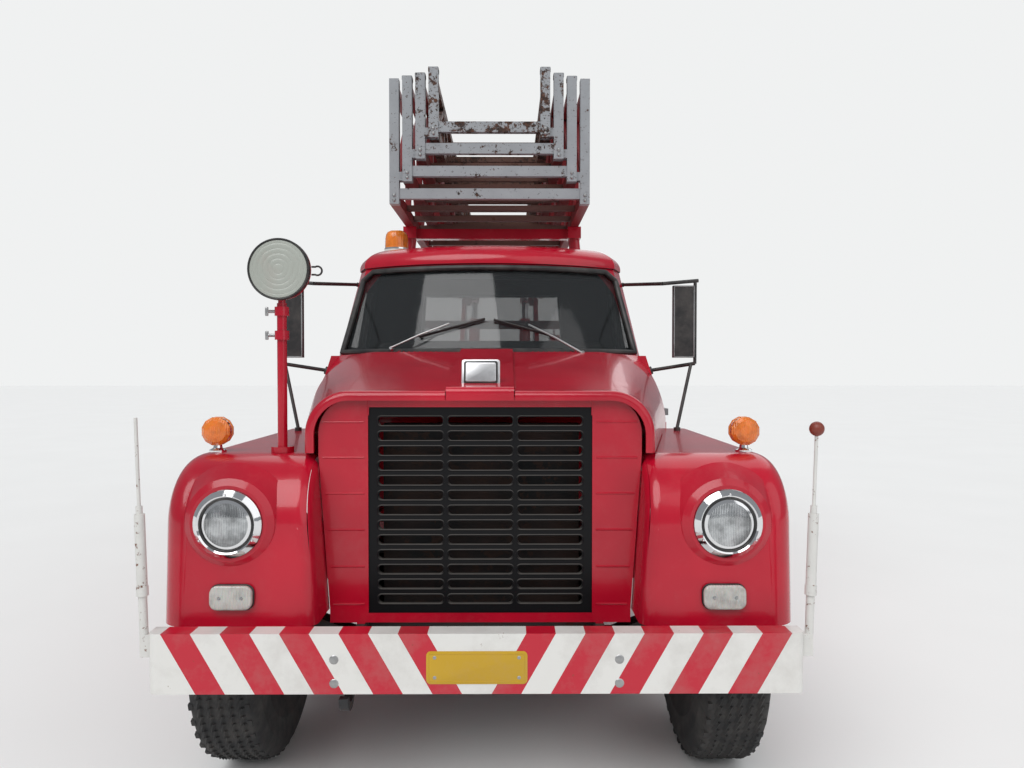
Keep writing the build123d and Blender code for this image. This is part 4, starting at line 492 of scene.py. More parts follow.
def deck_paint():
    """Tread plate on the deck, red boxes and mudguards beside the frame, black beams between."""
    s = Shader("deck_paint")
    dots = s.add("ShaderNodeTexVoronoi")
    dots.inputs["Scale"].default_value = 34.0
    s.join(s.coords, dots.inputs["Vector"])
    height = s.ramp(dots.outputs["Distance"], 0.15, 0.3)
    split = s.axes(s.coords)
    plate = s.math("GREATER_THAN", split["Z"], DECK_TOP - DECK_THICK)
    outer = s.math("GREATER_THAN", s.math("ABSOLUTE", split["X"]), SUBFRAME_HALF)
    metal = s.blend(s.noise(5.0, 5.0), (0.30, 0.30, 0.31), (0.17, 0.165, 0.16))
    panel = s.blend(s.noise(2.3, 3.0), RED_DEEP, RED)
    beam = s.blend(s.noise(14.0, 6.0), (0.025, 0.025, 0.027), RUST_DARK)
    s.colour_from(s.blend(plate, s.blend(outer, beam, panel), metal))
    s.roughness_from(s.level(s.noise(20.0), 0.25, 0.5))
    s.join(s.math("MULTIPLY", plate, 0.9), s.surface.inputs["Metallic"])
    s.bump(s.math("MULTIPLY", height, plate), 0.5, -0.002)
    return s.material


def step_plate():
    """Bare tread plate with raised dots."""
    s = Shader("step_plate")
    dots = s.add("ShaderNodeTexVoronoi")
    dots.inputs["Scale"].default_value = 34.0
    s.join(s.coords, dots.inputs["Vector"])
    metal = s.blend(s.noise(5.0, 5.0), (0.36, 0.36, 0.37), (0.22, 0.21, 0.20))
    s.colour_from(metal)
    s.roughness_from(s.level(s.noise(20.0), 0.3, 0.55))
    s.set(Metallic=0.9)
    s.bump(s.ramp(dots.outputs["Distance"], 0.15, 0.3), 0.5, -0.002)
    return s.material


CAB_MIDDLE = (0.0, -1.93, 1.55)


def cab_paint(name):
    """Red paint outside; dull dark grey trim on the faces that look into the cab, dark enough to be painted
    shade of the cab's inside.
    """
    s = Shader(name)
    away = s.add("ShaderNodeVectorMath", operation="SUBTRACT")
    s.join(s.coords, away.inputs[0])
    away.inputs[1].default_value = CAB_MIDDLE
    facing = s.add("ShaderNodeVectorMath", operation="DOT_PRODUCT")
    s.join(s.normals, facing.inputs[0])
    s.join(away.outputs[0], facing.inputs[1])
    inside = s.math("LESS_THAN", facing.outputs["Value"], 0.0)
    cloud = s.ramp(s.noise(2.3, 3.0), 0.35, 0.65)
    outside = s.blend(cloud, RED_DEEP, RED)
    # Painted shade: faces that look into the cab get this near-black trim colour.
    trim = s.blend(s.noise(60.0, 3.0), (0.030, 0.030, 0.032), (0.055, 0.053, 0.050))
    s.colour_from(s.blend(inside, outside, trim))
    shine = s.level(s.noise(30.0, 5.0), 0.18, 0.30)
    s.roughness_from(s.math("MAXIMUM", shine, s.math("MULTIPLY", inside, 0.7)))
    s.join(s.math("MULTIPLY", s.math("SUBTRACT", 1.0, inside), 0.4), s.surface.inputs["Coat Weight"])
    s.set(Coat_Roughness=0.06, Specular_IOR_Level=0.35)
    s.bump(s.noise(55.0, 2.0), 0.035)
    return s.material


def ladder_paint(node, rail, rung, chips_by):
    """Chipped silver on the front end frame, paint on the sides behind it and rust on the rungs."""
    low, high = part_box(node)
    s = Shader(node + "_paint")
    split = s.axes(s.coords)
    edge = s.math("ADD", split["Y"], s.math("MULTIPLY", s.noise(40.0, 5.0), 0.02))
    end = s.math("LESS_THAN", edge, low[1] + 0.064)
    inner = s.math("LESS_THAN", s.math("ABSOLUTE", split["X"]), high[0] - 0.0502)
    large = s.ramp(s.noise(17.0, 9.0, 0.72), 0.66 - chips_by, 0.69 - chips_by)
    small = s.ramp(s.noise(75.0, 5.0, 0.7), 0.665 - chips_by * 0.6, 0.69 - chips_by * 0.6)
    chips = s.math("MAXIMUM", large, small)
    cloud = s.noise(6.0, 5.0, 0.6)
    sides = s.blend(cloud, tuple(c * 0.7 for c in rail), rail)
    bars = s.blend(s.noise(9.0, 8.0, 0.7), tuple(c * 0.45 for c in rung), rung)
    front = s.blend(s.noise(12.0, 6.0), tuple(c * 0.72 for c in SILVER), SILVER)
    tone = s.blend(end, s.blend(inner, sides, bars), front)
    rust = s.blend(s.ramp(s.noise(60.0, 5.0), 0.35, 0.6), (0.10, 0.04, 0.022), (0.025, 0.016, 0.013))
    s.colour_from(s.blend(chips, tone, rust))
    s.roughness_from(s.level(chips, 0.45, 0.85))
    s.bump(s.math("ADD", s.math("MULTIPLY", chips, -0.6), s.noise(90.0, 4.0)), 0.3)
    return s.material


def marker_paint():
    """Worn white sticks with a red-brown ball on top of one of them."""
    s = Shader("marker_paint")
    split = s.axes(s.coords)
    high = s.math("GREATER_THAN", split["Z"], 1.3268)
    ball = s.math("MULTIPLY", high, s.math("GREATER_THAN", split["X"], 0.0))
    chips = s.ramp(s.noise(48.0, 8.0, 0.7), 0.60, 0.64)
    white = s.blend(s.noise(20.0, 4.0), tuple(c * 0.82 for c in WHITE), WHITE)
    tone = s.blend(ball, white, (0.21, 0.035, 0.02))
    s.colour_from(s.blend(chips, tone, RUST))
    s.roughness_from(s.level(chips, 0.4, 0.85))
    s.bump(s.math("MULTIPLY", chips, -1.0), 0.3)
    return s.material


def grille_paint():
    """Black paint, paler on the faces that look up: a painted highlight from above, mixed with pale dust.
    """
    s = Shader("grille_black")
    split = s.axes(s.normals)
    # Painted highlight: faces that look up are made pale, and noise breaks it into patches like dust.
    painted_top_highlight = s.ramp(split["Z"], 0.1, 0.7)
    dust = s.math("MULTIPLY", painted_top_highlight, s.level(s.noise(20.0, 5.0), 0.35, 0.9))
    s.colour_from(s.blend(dust, (0.005, 0.005, 0.006), (0.12, 0.11, 0.10)))
    s.roughness_from(s.level(dust, 0.42, 0.8))
    s.set(Specular_IOR_Level=0.2)
    s.bump(s.noise(70.0, 3.0), 0.08)
    return s.material


def ribbed_glass(name, colour, metallic, roughness, wave_scale):
    """Moulded lamp glass over a bright bowl, with upright flutes."""
    s = Shader(name)
    wave = s.add("ShaderNodeTexWave", wave_type="BANDS", bands_direction="X")
    wave.inputs["Scale"].default_value = wave_scale
    s.join(s.coords, wave.inputs["Vector"])
    cloud = s.ramp(s.noise(19.0, 5.0, 0.6), 0.38, 0.62)
    tone = s.blend(cloud, colour, tuple(c * 0.45 for c in colour))
    tone = s.blend(s.math("MULTIPLY", wave.outputs["Fac"], 0.35), tone, (0.05, 0.05, 0.055))
    s.colour_from(tone)
    s.roughness_from(s.level(s.noise(50.0, 4.0), roughness * 0.8, roughness * 1.4))
    s.set(Metallic=metallic, Coat_Weight=0.5, Coat_Roughness=0.03)
    s.bump(wave.outputs["Fac"], 0.6, 0.0015)
    return s.material


STRIPE_W = 0.0912
STRIPE_START = 0.0455
STRIPE_LEAN = 0.57


def striped_paint():
    """White with slanted red bands that mirror about the centre line."""
    s = Shader("striped_paint")
    split = s.axes(s.coords)
    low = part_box("front_bumper")[0][2]
    rise = s.math("MULTIPLY", s.math("SUBTRACT", split["Z"], low), STRIPE_LEAN)
    across = s.math("SUBTRACT", s.math("ABSOLUTE", split["X"]), rise)
    across = s.math("SUBTRACT", across, STRIPE_START)
    wave = s.math("PINGPONG", s.math("ADD", across, -STRIPE_W / 2), STRIPE_W)
    band = s.math("LESS_THAN", wave, STRIPE_W / 2)
    inner = s.math("GREATER_THAN", across, 0.0)
    outer = s.math("LESS_THAN", across, 9 * STRIPE_W)
    band = s.math("MULTIPLY", band, s.math("MULTIPLY", inner, outer))
    tone = s.blend(band, WHITE, RED)
    grime = s.math("MULTIPLY", s.ramp(s.noise(7.0, 8.0, 0.7), 0.45, 0.8), 0.35)
    tone = s.blend(grime, tone, (0.30, 0.26, 0.23))
    chips = s.ramp(s.noise(26.0, 9.0, 0.75), 0.66, 0.69)
    tone = s.blend(chips, tone, RUST)
    s.colour_from(tone)
    s.roughness_from(s.level(chips, 0.32, 0.8))
    s.set(Coat_Weight=0.3, Coat_Roughness=0.15)
    s.bump(s.math("MULTIPLY", chips, -1.0), 0.3)
    return s.material


FINISH = {
    "red": gloss_paint("red_paint", RED, RED_DEEP),
    "cab_red": cab_paint("cab_paint"),
    "red_worn": worn_paint("red_ladder_paint", (0.30, 0.012, 0.014), RUST, 0.25),
    "base_ladder": ladder_paint("ladder_base", (0.26, 0.006, 0.012), (0.13, 0.052, 0.040), 0.05),
    "second_ladder": ladder_paint("ladder_2", (0.24, 0.008, 0.013), (0.15, 0.062, 0.045), 0.06),
    "third_ladder": ladder_paint("ladder_3", (0.20, 0.012, 0.014), (0.15, 0.066, 0.046), 0.08),
    "top_ladder": ladder_paint("ladder_4", (0.16, 0.070, 0.050), (0.14, 0.060, 0.040), 0.15),
    "grille": grille_paint(),
    "markers": marker_paint(),
    "plate_yellow": gloss_paint("plate_yellow", (0.62, 0.38, 0.015), (0.52, 0.31, 0.012), 0.32, 0.18),
    "headlamp_glass": ribbed_glass("headlamp_glass", (0.66, 0.68, 0.69), 0.85, 0.10, 60.0),
    "search_glass": gloss_paint("search_glass", (0.42, 0.44, 0.40), (0.35, 0.37, 0.33), 0.30, 0.25),
    "beacon_glass": lens_plastic("beacon_glass", (0.86, 0.24, 0.02), 500.0, "X"),
    "black": gloss_paint("black_paint", (0.014, 0.014, 0.015), BLACK, 0.32, 0.25),
    "frame": worn_paint("frame_paint", (0.025, 0.025, 0.027), RUST_DARK, 0.3, roughness=0.7),
    "white": worn_paint("white_paint", WHITE, RUST, 0.12, scale=40.0),
    "chrome": plain_metal("chrome", (0.82, 0.82, 0.83), 0.06, grime=0.12),
    "steel": plain_metal("bare_steel", (0.42, 0.42, 0.42), 0.35),
    "satin": plain_metal("satin_plating", (0.60, 0.60, 0.61), 0.32, grime=0.25),
    "glass": clear_glass("window_glass", (0.030, 0.034, 0.036), 0.40),
    "amber": lens_plastic("amber_lens", (0.80, 0.20, 0.02), 900.0, "X"),
    "frosted": lens_plastic("frosted_lens", (0.50, 0.49, 0.46), 700.0, "X"),
    "red_lens": lens_plastic("red_lens", (0.45, 0.01, 0.01), 700.0, "X"),
    "tyre": rubber("tyre_rubber", (0.022, 0.022, 0.023), 0.85),
    "trim": rubber("black_rubber", (0.012, 0.012, 0.013), 0.5),
    "deck": deck_paint(),
    "step": step_plate(),
    "seat": rubber("seat_vinyl", (0.03, 0.026, 0.022), 0.45),
    "engine": worn_paint("engine_paint", BLACK, (0.014, 0.010, 0.009), 0.35, roughness=0.85),
    "stripes": striped_paint(),
}

NODE_FINISH = {
    "frame": ("chassis_frame", "front_axle", "rear_axle", "knuckle_left", "knuckle_right", "tie_rod"),
    "stripes": ("front_bumper",),
    "markers": ("bumper_markers",),
    "engine": ("engine_and_radiator", "exhaust"),
    "red": (
        "cab_steps", "fender_left", "fender_right", "grille_surround", "hood_left", "hood_right",
        "hood_spine", "searchlight", "lockers", "locker_door_left_front", "locker_door_left_rear",
        "locker_door_right_front", "locker_door_right_rear", "ladder_cradle", "turntable", "lift_barrels",
        "rim_front_left", "rim_front_right", "rim_rear_left", "rim_rear_right",
    ),
    "cab_red": ("cab_shell", "cab_roof", "door_left", "door_right"),
    "grille": ("grille",),
    "black": ("seat_base", "steering_wheel"),
    "trim": ("mirrors",),
    "chrome": ("headlamps", "lift_rods"),
    "amber": ("marker_lamps", "beacon"),
    "glass": ("cab_glass", "door_glass_left", "door_glass_right"),
    "seat": ("bench_seat",),
    "deck": ("deck",),
    "tyre": ("tyre_front_left", "tyre_front_right", "tyre_rear_left", "tyre_rear_right"),
    "red_worn": ("ladder_brackets",),
    "base_ladder": ("ladder_base",),
    "second_ladder": ("ladder_2",),
    "third_ladder": ("ladder_3",),
    "top_ladder": ("ladder_4",),
    "steel": ("jack_left_front", "jack_left_rear", "jack_right_front", "jack_right_rear"),
}


def dress_nodes():
    for finish, names in NODE_FINISH.items():
        for name in names:
            mesh = nodes[name].data
            mesh.materials.clear()
            mesh.materials.append(FINISH[finish])
            mesh.shade_smooth()
            mesh.set_sharp_from_angle(angle=math.radians(32))


# Tyres and wheels

TYRE_OUTLINE = (
    (0.2545, 0.084), (0.262, 0.090), (0.276, 0.097), (0.300, 0.106), (0.330, 0.116), (0.352, 0.1205),
    (0.355, 0.1225), (0.359, 0.1225), (0.362, 0.1215), (0.395, 0.1245), (0.425, 0.1235), (0.430, 0.1245),
    (0.436, 0.1225), (0.455, 0.1185), (0.474, 0.112), (0.488, 0.104), (0.494, 0.096), (0.4955, 0.085),
    (0.4965, 0.0),
)
RIB_X = (-0.072, -0.036, 0.0, 0.036, 0.072)
RIB_STEPS = 44
RIB_R = 0.4956
RIB_HALF = Vector((0.006, 0, 0))
LUG_R = 0.4945
TYRES = {
    "tyre_front_left": ("wheel_front_left", (0.0,)),
    "tyre_front_right": ("wheel_front_right", (0.0,)),
    "tyre_rear_left": ("wheel_rear_left", (-0.145, 0.145)),
    "tyre_rear_right": ("wheel_rear_right", (-0.145, 0.145)),
}


def make_tyre(node):
    """Tyre with moulded rings on its walls and zigzag ribs on its tread."""
    body, rows = TYRES[node]
    low, high = corners_of(node)
    middle = (low + high) / 2
    piece = Piece(node + "_with_tread", "tyre")
    outline = [(r, -x) for r, x in TYRE_OUTLINE] + [(r, x) for r, x in reversed(TYRE_OUTLINE[:-1])]
    for row in rows:
        centre = middle + Vector((row, 0, 0))
        piece.turned(outline, centre, (1, 0, 0), sides=72)
        before = set(piece.form.faces)
        pitch = math.pi / RIB_STEPS
        for x in RIB_X:
            for way in (1, -1):
                turn = Matrix.Rotation(way * pitch / 2, 4, "X")
                foot = centre + turn @ Vector((x, 0, RIB_R))
                lean = turn @ Vector((0, 0.0195, 0))
                piece.bar(foot - RIB_HALF - lean, foot + RIB_HALF + lean, 0.0088, sides=4)
        for way in (1, -1):
            foot = centre + Vector((way * 0.098, 0, LUG_R))
            piece.slab(foot - Vector((0.012, 0.012, 0.012)), foot + Vector((0.004, 0.012, 0.0015)))
        piece.around(before, centre, (1, 0, 0), RIB_STEPS)
    shown = piece.show(body)
    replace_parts(shown, node)


WHEEL_TRIM = (("front", 0.052, 0.158, 0.123, 0.062), ("rear", 0.146, 0.150, 0.166, 0.085))


def make_wheel_trim(side, word):
    """Wheel nuts and hub cap of one side's front and rear wheels."""
    out = Vector((side, 0, 0))
    for place, disc_out, ring, hub_out, cap_r in WHEEL_TRIM:
        low, high = corners_of("rim_%s_%s" % (place, word))
        centre = (low + high) / 2
        face = centre + out * disc_out
        hub = centre + out * hub_out
        piece = Piece("wheel_nuts_%s_%s" % (place, word), "steel", "red")
        before = set(piece.form.faces)
        nut = face + Vector((0, 0, ring))
        piece.bar(nut, nut + out * 0.022, 0.0165, sides=6)
        piece.bar(nut + out * 0.020, nut + out * 0.034, 0.010, sides=10)
        piece.around(before, face, (1, 0, 0), 8)
        piece.group = 1
        piece.turned([(0.0, 0.012), (cap_r * 0.6, 0.010), (cap_r, 0.0), (cap_r, -0.01)], hub, out)
        piece.show("wheel_%s_%s" % (place, word))


# Front of the vehicle

PLATE_HALF = 0.156
PLATE_Z = (0.566, 0.668)
PLATE_RIM = 0.008


def make_plate():
    """Blank yellow number plate with a pressed rim, held by four small screws."""
    low_z, high_z = PLATE_Z
    piece = Piece("front_plate_blank", "plate_yellow", "steel")
    front = (-PLATE_HALF, BUMPER_Y - 0.0012, low_z)
    piece.slab(front, (PLATE_HALF, BUMPER_Y + 0.002, high_z), 0.0005, 2, 0.014, 1)
    rim_x = PLATE_HALF - PLATE_RIM
    rim_z = (low_z + PLATE_RIM, high_z - PLATE_RIM)
    corners = [(-rim_x, rim_z[0]), (rim_x, rim_z[0]), (rim_x, rim_z[1]), (-rim_x, rim_z[1])]
    piece.pipe(dense([(x, BUMPER_Y - 0.0006, z) for x, z in corners], 0.02), 0.0016, True, 1)
    piece.group = 1
    screw = [(0, -0.0025), (0.004, -0.0022), (0.006, -0.001)]
    for x in (-0.13, 0.13):
        for z in (low_z + 0.02, high_z - 0.02):
            piece.turned(screw, (x, BUMPER_Y, z), (0, 1, 0), 12)
    piece.show()


def make_bumper_bolts():
    """Two flat round bolt heads on each side of the plate."""
    piece = Piece("bumper_bolts", "steel")
    head = [(0, -0.0028), (0.008, -0.0024), (0.013, -0.0012), (0.0145, 0.0)]
    for x in (-0.44, 0.44):
        for z in (0.568, 0.642):
            piece.turned(head, (x, BUMPER_Y, z), (0, 1, 0), 16)
    piece.show()


def make_headlamp(side, word):
    """Sealed beam behind domed glass, with three rim screws."""
    low, high = corners_of("headlamps")
    x = side * (high.x - 0.111)
    z = (low.z + high.z) / 2
    front = low.y
    piece = Piece("headlamp_glass_" + word, "headlamp_glass", "chrome", "trim")
    dome = [(0, -0.0115), (0.022, -0.011), (0.044, -0.0085), (0.064, -0.0045), (0.0795, 0.0012)]
    dome += [(0.0815, 0.005)]
    piece.turned(dome, (x, front + 0.0095, z), (0, 1, 0), 56)
    piece.group = 1
    for step in range(3):
        turn = math.radians(90 + 120 * step)
        place = Vector((x + 0.098 * math.cos(turn), front + 0.004, z + 0.098 * math.sin(turn)))
        piece.turned([(0, -0.0022), (0.003, -0.002), (0.0045, 0.001)], place, (0, 1, 0), 12)
    piece.group = 2
    groove = [(0.0812, 0.008), (0.0825, 0.0035), (0.0865, 0.0035), (0.0885, 0.008)]
    piece.turned(groove, (x, front, z), (0, 1, 0), 56)
    piece.show()


PARK_PLACE = (0.798, 0.797)
PARK_SIZE = (0.144, 0.084)
PARK_LEAN = math.atan(20 / 310)


def make_parking_lamp(side, word):
    """Oblong frosted lamp with a dark seat and two screws."""
    low = Vector(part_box("marker_lamps")[0])
    piece = Piece("parking_lamp_" + word, "trim", "frosted", "steel")
    w, h = PARK_SIZE[0] / 2, PARK_SIZE[1] / 2
    piece.slab((-w, -h, 0.0), (w, h, 0.006), 0.001, 1, 0.028, 2)
    piece.group = 1
    piece.slab((-w + 0.003, -h + 0.003, 0.004), (w - 0.003, h - 0.003, 0.022), 0.006, 3, 0.025, 2)
    piece.group = 2
    for x in (-0.036, 0.036):
        piece.turned([(0, 0.0245), (0.004, 0.024), (0.006, 0.021)], (x, 0, 0), (0, 0, 1), 12)
    tilt = Matrix.Rotation(math.pi / 2 - PARK_LEAN, 4, "X")
    face_y = low.y + 0.022
    piece.show(place=Matrix.Translation((side * PARK_PLACE[0], face_y, PARK_PLACE[1])) @ tilt)


def make_turn_signal(side, word):
    """Round amber lamp with faceted lenses on a plated stalk."""
    x, y, z = side * 0.945, BUMPER_Y + 0.41, 1.314
    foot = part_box("fender_" + word)[1][2]
    piece = Piece("turn_signal_" + word, "chrome", "amber")
    stalk = [(0.030, 0), (0.030, 0.006), (0.016, 0.014), (0.013, 0.03), (0.013, z - foot - 0.04)]
    piece.turned(stalk, (x, y, foot), (0, 0, 1), 24)
    shell = [(0.0445, -0.016), (0.048, -0.014), (0.0485, 0.0), (0.048, 0.014), (0.0445, 0.016)]
    piece.turned(shell, (x, y, z), (0, 1, 0))
    piece.group = 1
    for way in (1, -1):
        lens = [(0, 0.036), (0.022, 0.0355), (0.040, 0.031), (0.0515, 0.021), (0.052, 0.014)]
        lens += [(0.046, 0.012)]
        piece.turned([(r, way * d) for r, d in lens], (x, y, z), (0, 1, 0), 12)
    piece.show(smooth=12)


def make_tail_lamp(side, word):
    """Black housing with a red lens and a small amber one above."""
    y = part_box("marker_lamps")[1][1]
    low_z = 0.6645
    piece = Piece("tail_lamp_" + word, "trim", "red_lens", "amber")
    x0, x1 = sorted((side * 0.86, side * 0.98))
    piece.slab((x0, y - 0.032, low_z), (x1, y - 0.008, low_z + 0.1055), 0.004)
    piece.group = 1
    piece.slab((x0 + 0.008, y - 0.010, low_z + 0.008), (x1 - 0.008, y, low_z + 0.066), 0.004, 3)
    piece.group = 2
    piece.slab((x0 + 0.008, y - 0.010, low_z + 0.070), (x1 - 0.008, y, low_z + 0.098), 0.004, 3)
    piece.show()


def hide_replaced_lamps():
    """The detailed lamps stand for the plain CAD ones."""
    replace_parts(bpy.data.objects["turn_signal_left"], "marker_lamps")


def make_hood_plate():
    """Plain bare plated badge plate that stands on the hood's nose, with nothing on it."""
    piece = Piece("hood_plate_plain", "satin", "trim")
    piece.slab((-0.068, -0.004, 0.0), (0.068, 0.004, 0.095), 0.002, 2, 0.010, 1)
    piece.slab((-0.054, -0.009, 0.014), (0.054, 0.0, 0.083), 0.0025, 2, 0.006, 1)
    piece.slab((-0.050, 0.0, -0.012), (0.050, 0.034, 0.030), 0.004)
    piece.group = 1
    piece.slab((-0.060, -0.0052, 0.007), (0.060, 0.0, 0.089), 0.001, 2, 0.008, 1)
    top = set_down(surface_of("hood_spine"), (0, BUMPER_Y + 0.36, 2), (0, 0, -1), -0.010)
    piece.show(place=Matrix.Translation(top) @ Matrix.Rotation(math.radians(-12), 4, "X"))


def make_surround_lines():
    """Pressed level lines on the panels beside the grille."""
    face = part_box("grille_surround")[0][1]
    piece = Piece("surround_pressed_lines", "red")
    for side in (1, -1):
        for z in (1.353, 1.230, 1.105, 0.979, 0.8505, 0.720):
            reach = 0.545 if z > 1.2 else 0.508 + (z - 0.7) * 0.07
            piece.pipe([(side * 0.402, face + 0.0012, z), (side * reach, face + 0.0012, z)], 0.0038)
        piece.pipe([(side * 0.388, face + 0.0012, 1.376), (side * 0.388, face + 0.0012, 1.432)], 0.0034)
    piece.show()


GRILLE_COLUMNS = 3
GRILLE_ROWS = 13
GRILLE_PITCH = (0.242, 0.0517)
SLOT_RIM = (0.1145, 0.0172, 0.0125)


def make_grille_rims():
    """A rolled rim round each slot of the grille."""
    low, high = corners_of("grille")
    piece = Piece("grille_slot_rims", "grille")
    w, h, r = SLOT_RIM
    corners = []
    for cx, cz, start in ((w - r, h - r, 0), (r - w, h - r, 90), (r - w, r - h, 180), (w - r, r - h, 270)):
        for step in range(5):
            turn = math.radians(start + 22.5 * step)
            corners.append((cx + r * math.cos(turn), cz + r * math.sin(turn)))
    for column in range(GRILLE_COLUMNS):
        x = (column - (GRILLE_COLUMNS - 1) / 2) * GRILLE_PITCH[0]
        for row in range(GRILLE_ROWS):
            z = (low.z + high.z) / 2 + (row - (GRILLE_ROWS - 1) / 2) * GRILLE_PITCH[1]
            piece.pipe([(x + u, low.y + 0.0005, z + v) for u, v in corners], 0.0032, True, 1)
    piece.show()


def make_cowl_vents():
    """Two rows of narrow air slots in the cowl before the windscreen."""
    shell = surface_of("cab_shell")
    piece = Piece("cowl_vents", "trim", "red")
    for side in (1, -1):
        for step in range(10):
            x = side * (0.175 + 0.025 * step)
            ends = [set_down(shell, (x, y, 3), (0, 0, -1), 0.0004) for y in (-2.585, -2.475)]
            piece.group = 0
            piece.bar(ends[0], ends[1], 0.0075, sides=8)
            piece.group = 1
            lip = [p + Vector((side * 0.0115, 0, 0.001)) for p in ends]
            piece.bar(lip[0], lip[1], 0.0055, sides=8)
    piece.show()


def make_wipers():
    """Two wipers that rest on the windscreen, where the photograph has them."""
    glass = surface_of("cab_glass")
    shell = surface_of("cab_shell")
    for word, pivot, tip, blade in (
        ("right", (394, 351), (450, 326), ((420, 338), (485, 320))),
        ("left", (582, 353), (528, 327), ((556, 338), (494, 321))),
    ):
        piece = Piece("wiper_" + word, "steel", "trim")
        foot = seen_at(shell, *pivot, 0.0)
        knob = seen_at(shell, *pivot, 0.030)
        piece.bar(foot, knob, 0.013, 0.009)
        end = seen_at(glass, *tip, 0.020)
        piece.pipe([knob, knob.lerp(end, 0.5) + Vector((0, -0.012, 0.004)), end], 0.0045)
        row = []
        for step in range(9):
            share = step / 8
            px = blade[0][0] + (blade[1][0] - blade[0][0]) * share
            py = blade[0][1] + (blade[1][1] - blade[0][1]) * share
            row.append((px, py))
        piece.group = 1
        piece.pipe([seen_at(glass, px, py, 0.014) for px, py in row], 0.004)
        piece.pipe([seen_at(glass, px, py, 0.006) for px, py in row], 0.0045)
        piece.show()


WINDSCREEN = (
    (-0.728, 1.622), (0.728, 1.622), (0.655, 1.990), (0.600, 2.034), (-0.600, 2.034), (-0.655, 1.990),
)
BACK_WINDOW = ((-0.430, 1.650), (0.430, 1.650), (0.400, 1.970), (-0.400, 1.970))


def make_window_rubbers():
    """Black rubber round the windscreen and the back window."""
    shell = surface_of("cab_shell")
    for name, outline, y, way in (
        ("windscreen_rubber", WINDSCREEN, -5.0, 1),
        ("back_window_rubber", BACK_WINDOW, 0.0, -1),
    ):
        middle = sum(z for _, z in outline) / len(outline)
        grown = [(x * 1.002, middle + (z - middle) * 1.02, 0) for x, z in outline]
        row = [set_down(shell, (p.x, y, p.y), (0, way, 0), 0.001) for p in dense(grown, 0.03)]
        piece = Piece(name, "trim")
        piece.pipe(row, 0.0145, True)
        piece.show()


DOOR_WINDOW = ((-2.060, 1.650), (-1.920, 1.970), (-1.670, 1.970), (-1.670, 1.650))
DOOR_RUBBER_SIZE = 1.04
HANDLE_Y = -1.700
HANDLE_Z = 1.2425


def make_door_trim(side, word):
    """Rubber round the door window, a plated handle and its lock."""
    skin = surface_of("door_" + word)
    middle = Vector((sum(y for y, _ in DOOR_WINDOW) / 4, sum(z for _, z in DOOR_WINDOW) / 4, 0))
    grown = [middle.lerp(Vector((*corner, 0)), DOOR_RUBBER_SIZE) for corner in DOOR_WINDOW]
    row = [set_down(skin, (side * 3, p.x, p.y), (-side, 0, 0), 0.001) for p in dense(grown, 0.03)]
    rubber_line = Piece("door_window_rubber_" + word, "trim")
    rubber_line.pipe(row, 0.009, True)
    rubber_line.show("door_" + word)
    handle = Piece("door_handle_" + word, "chrome")
    bend = [(0.884, -0.062), (0.912, -0.052), (0.912, 0.052), (0.884, 0.062)]
    handle.pipe([(side * x, HANDLE_Y + y, HANDLE_Z) for x, y in bend], 0.010)
    lock = [(0, 0.010), (0.010, 0.009), (0.012, 0.0)]
    handle.turned(lock, (side * 0.880, HANDLE_Y + 0.03, 1.19), (side, 0, 0), 16)
    handle.show("door_" + word)


# Searchlight and beacon


def make_searchlight_parts():
    """Frosted ribbed glass with a dark rim, clamp screws on the pole's collars and a cable clip."""
    centre = Vector((-0.710, BUMPER_Y + 0.40, 1.887))
    face = centre.y - 0.0405
    piece = Piece("searchlight_glass", "search_glass", "trim", "steel")
    rings = [(0, -0.0035)]
    for r in (0.018, 0.036, 0.054, 0.072, 0.090):
        rings += [(r - 0.003, -0.0035), (r, -0.0025), (r + 0.003, -0.0035)]
    rings += [(0.1005, -0.002), (0.1025, 0.002)]
    piece.turned(rings, (centre.x, face, centre.z), (0, 1, 0), 64)
    piece.group = 1
    rim = [(0.1015, 0.001), (0.1022, -0.004), (0.1055, -0.005), (0.1085, -0.002), (0.1085, 0.020)]
    rim += [(0.106, 0.022)]
    piece.turned(rim, (centre.x, face, centre.z), (0, 1, 0), 64)
    piece.group = 2
    for z in (1.656, 1.741):
        start = Vector((centre.x - 0.02, centre.y, z))
        piece.bar(start, start + Vector((-0.028, 0, 0)), 0.006, sides=10)
        wing = start + Vector((-0.028, 0, 0))
        piece.slab(wing - Vector((0.012, 0.003, 0.016)), wing + Vector((0.0, 0.003, 0.016)), 0.0025)
    piece.show()
    clip = Piece("searchlight_cable_clip", "trim")
    turn = [math.radians(a) for a in range(-120, 121, 20)]
    loop = [(0.125 + 0.016 * math.cos(a), 0.01, 0.016 * math.sin(a)) for a in turn]
    loop = [(0.104, 0.01, -0.014)] + loop + [(0.104, 0.01, 0.014)]
    clip.pipe([centre + Vector(spot) for spot in loop], 0.0035)
    clip.show()


def make_beacon_shape():
    """Amber dome with upright flutes on a pale base with a clamp ring."""
    low, high = corners_of("beacon")
    centre = Vector(((low.x + high.x) / 2, (low.y + high.y) / 2, low.z))
    tall = high.z - low.z
    piece = Piece("beacon_dome", "white", "beacon_glass", "chrome")
    base = [(0, 0), (0.0725, 0.0), (0.0725, 0.018), (0.069, 0.028), (0.066, 0.032)]
    piece.turned(base, centre, (0, 0, 1), 48)
    piece.group = 1
    dome = [(0.0655, 0.032), (0.065, 0.060), (0.0635, 0.095), (0.060, 0.115), (0.052, 0.129)]
    dome += [(0.036, 0.137), (0.016, tall - 0.0005), (0, tall)]
    piece.turned(dome, centre, (0, 0, 1), 48)
    piece.group = 2
    clamp = [(0.0655, 0.030), (0.0685, 0.031), (0.0685, 0.039), (0.0655, 0.040)]
    piece.turned(clamp, centre, (0, 0, 1), 48)
    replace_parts(piece.show(), "beacon")


# Cab inside


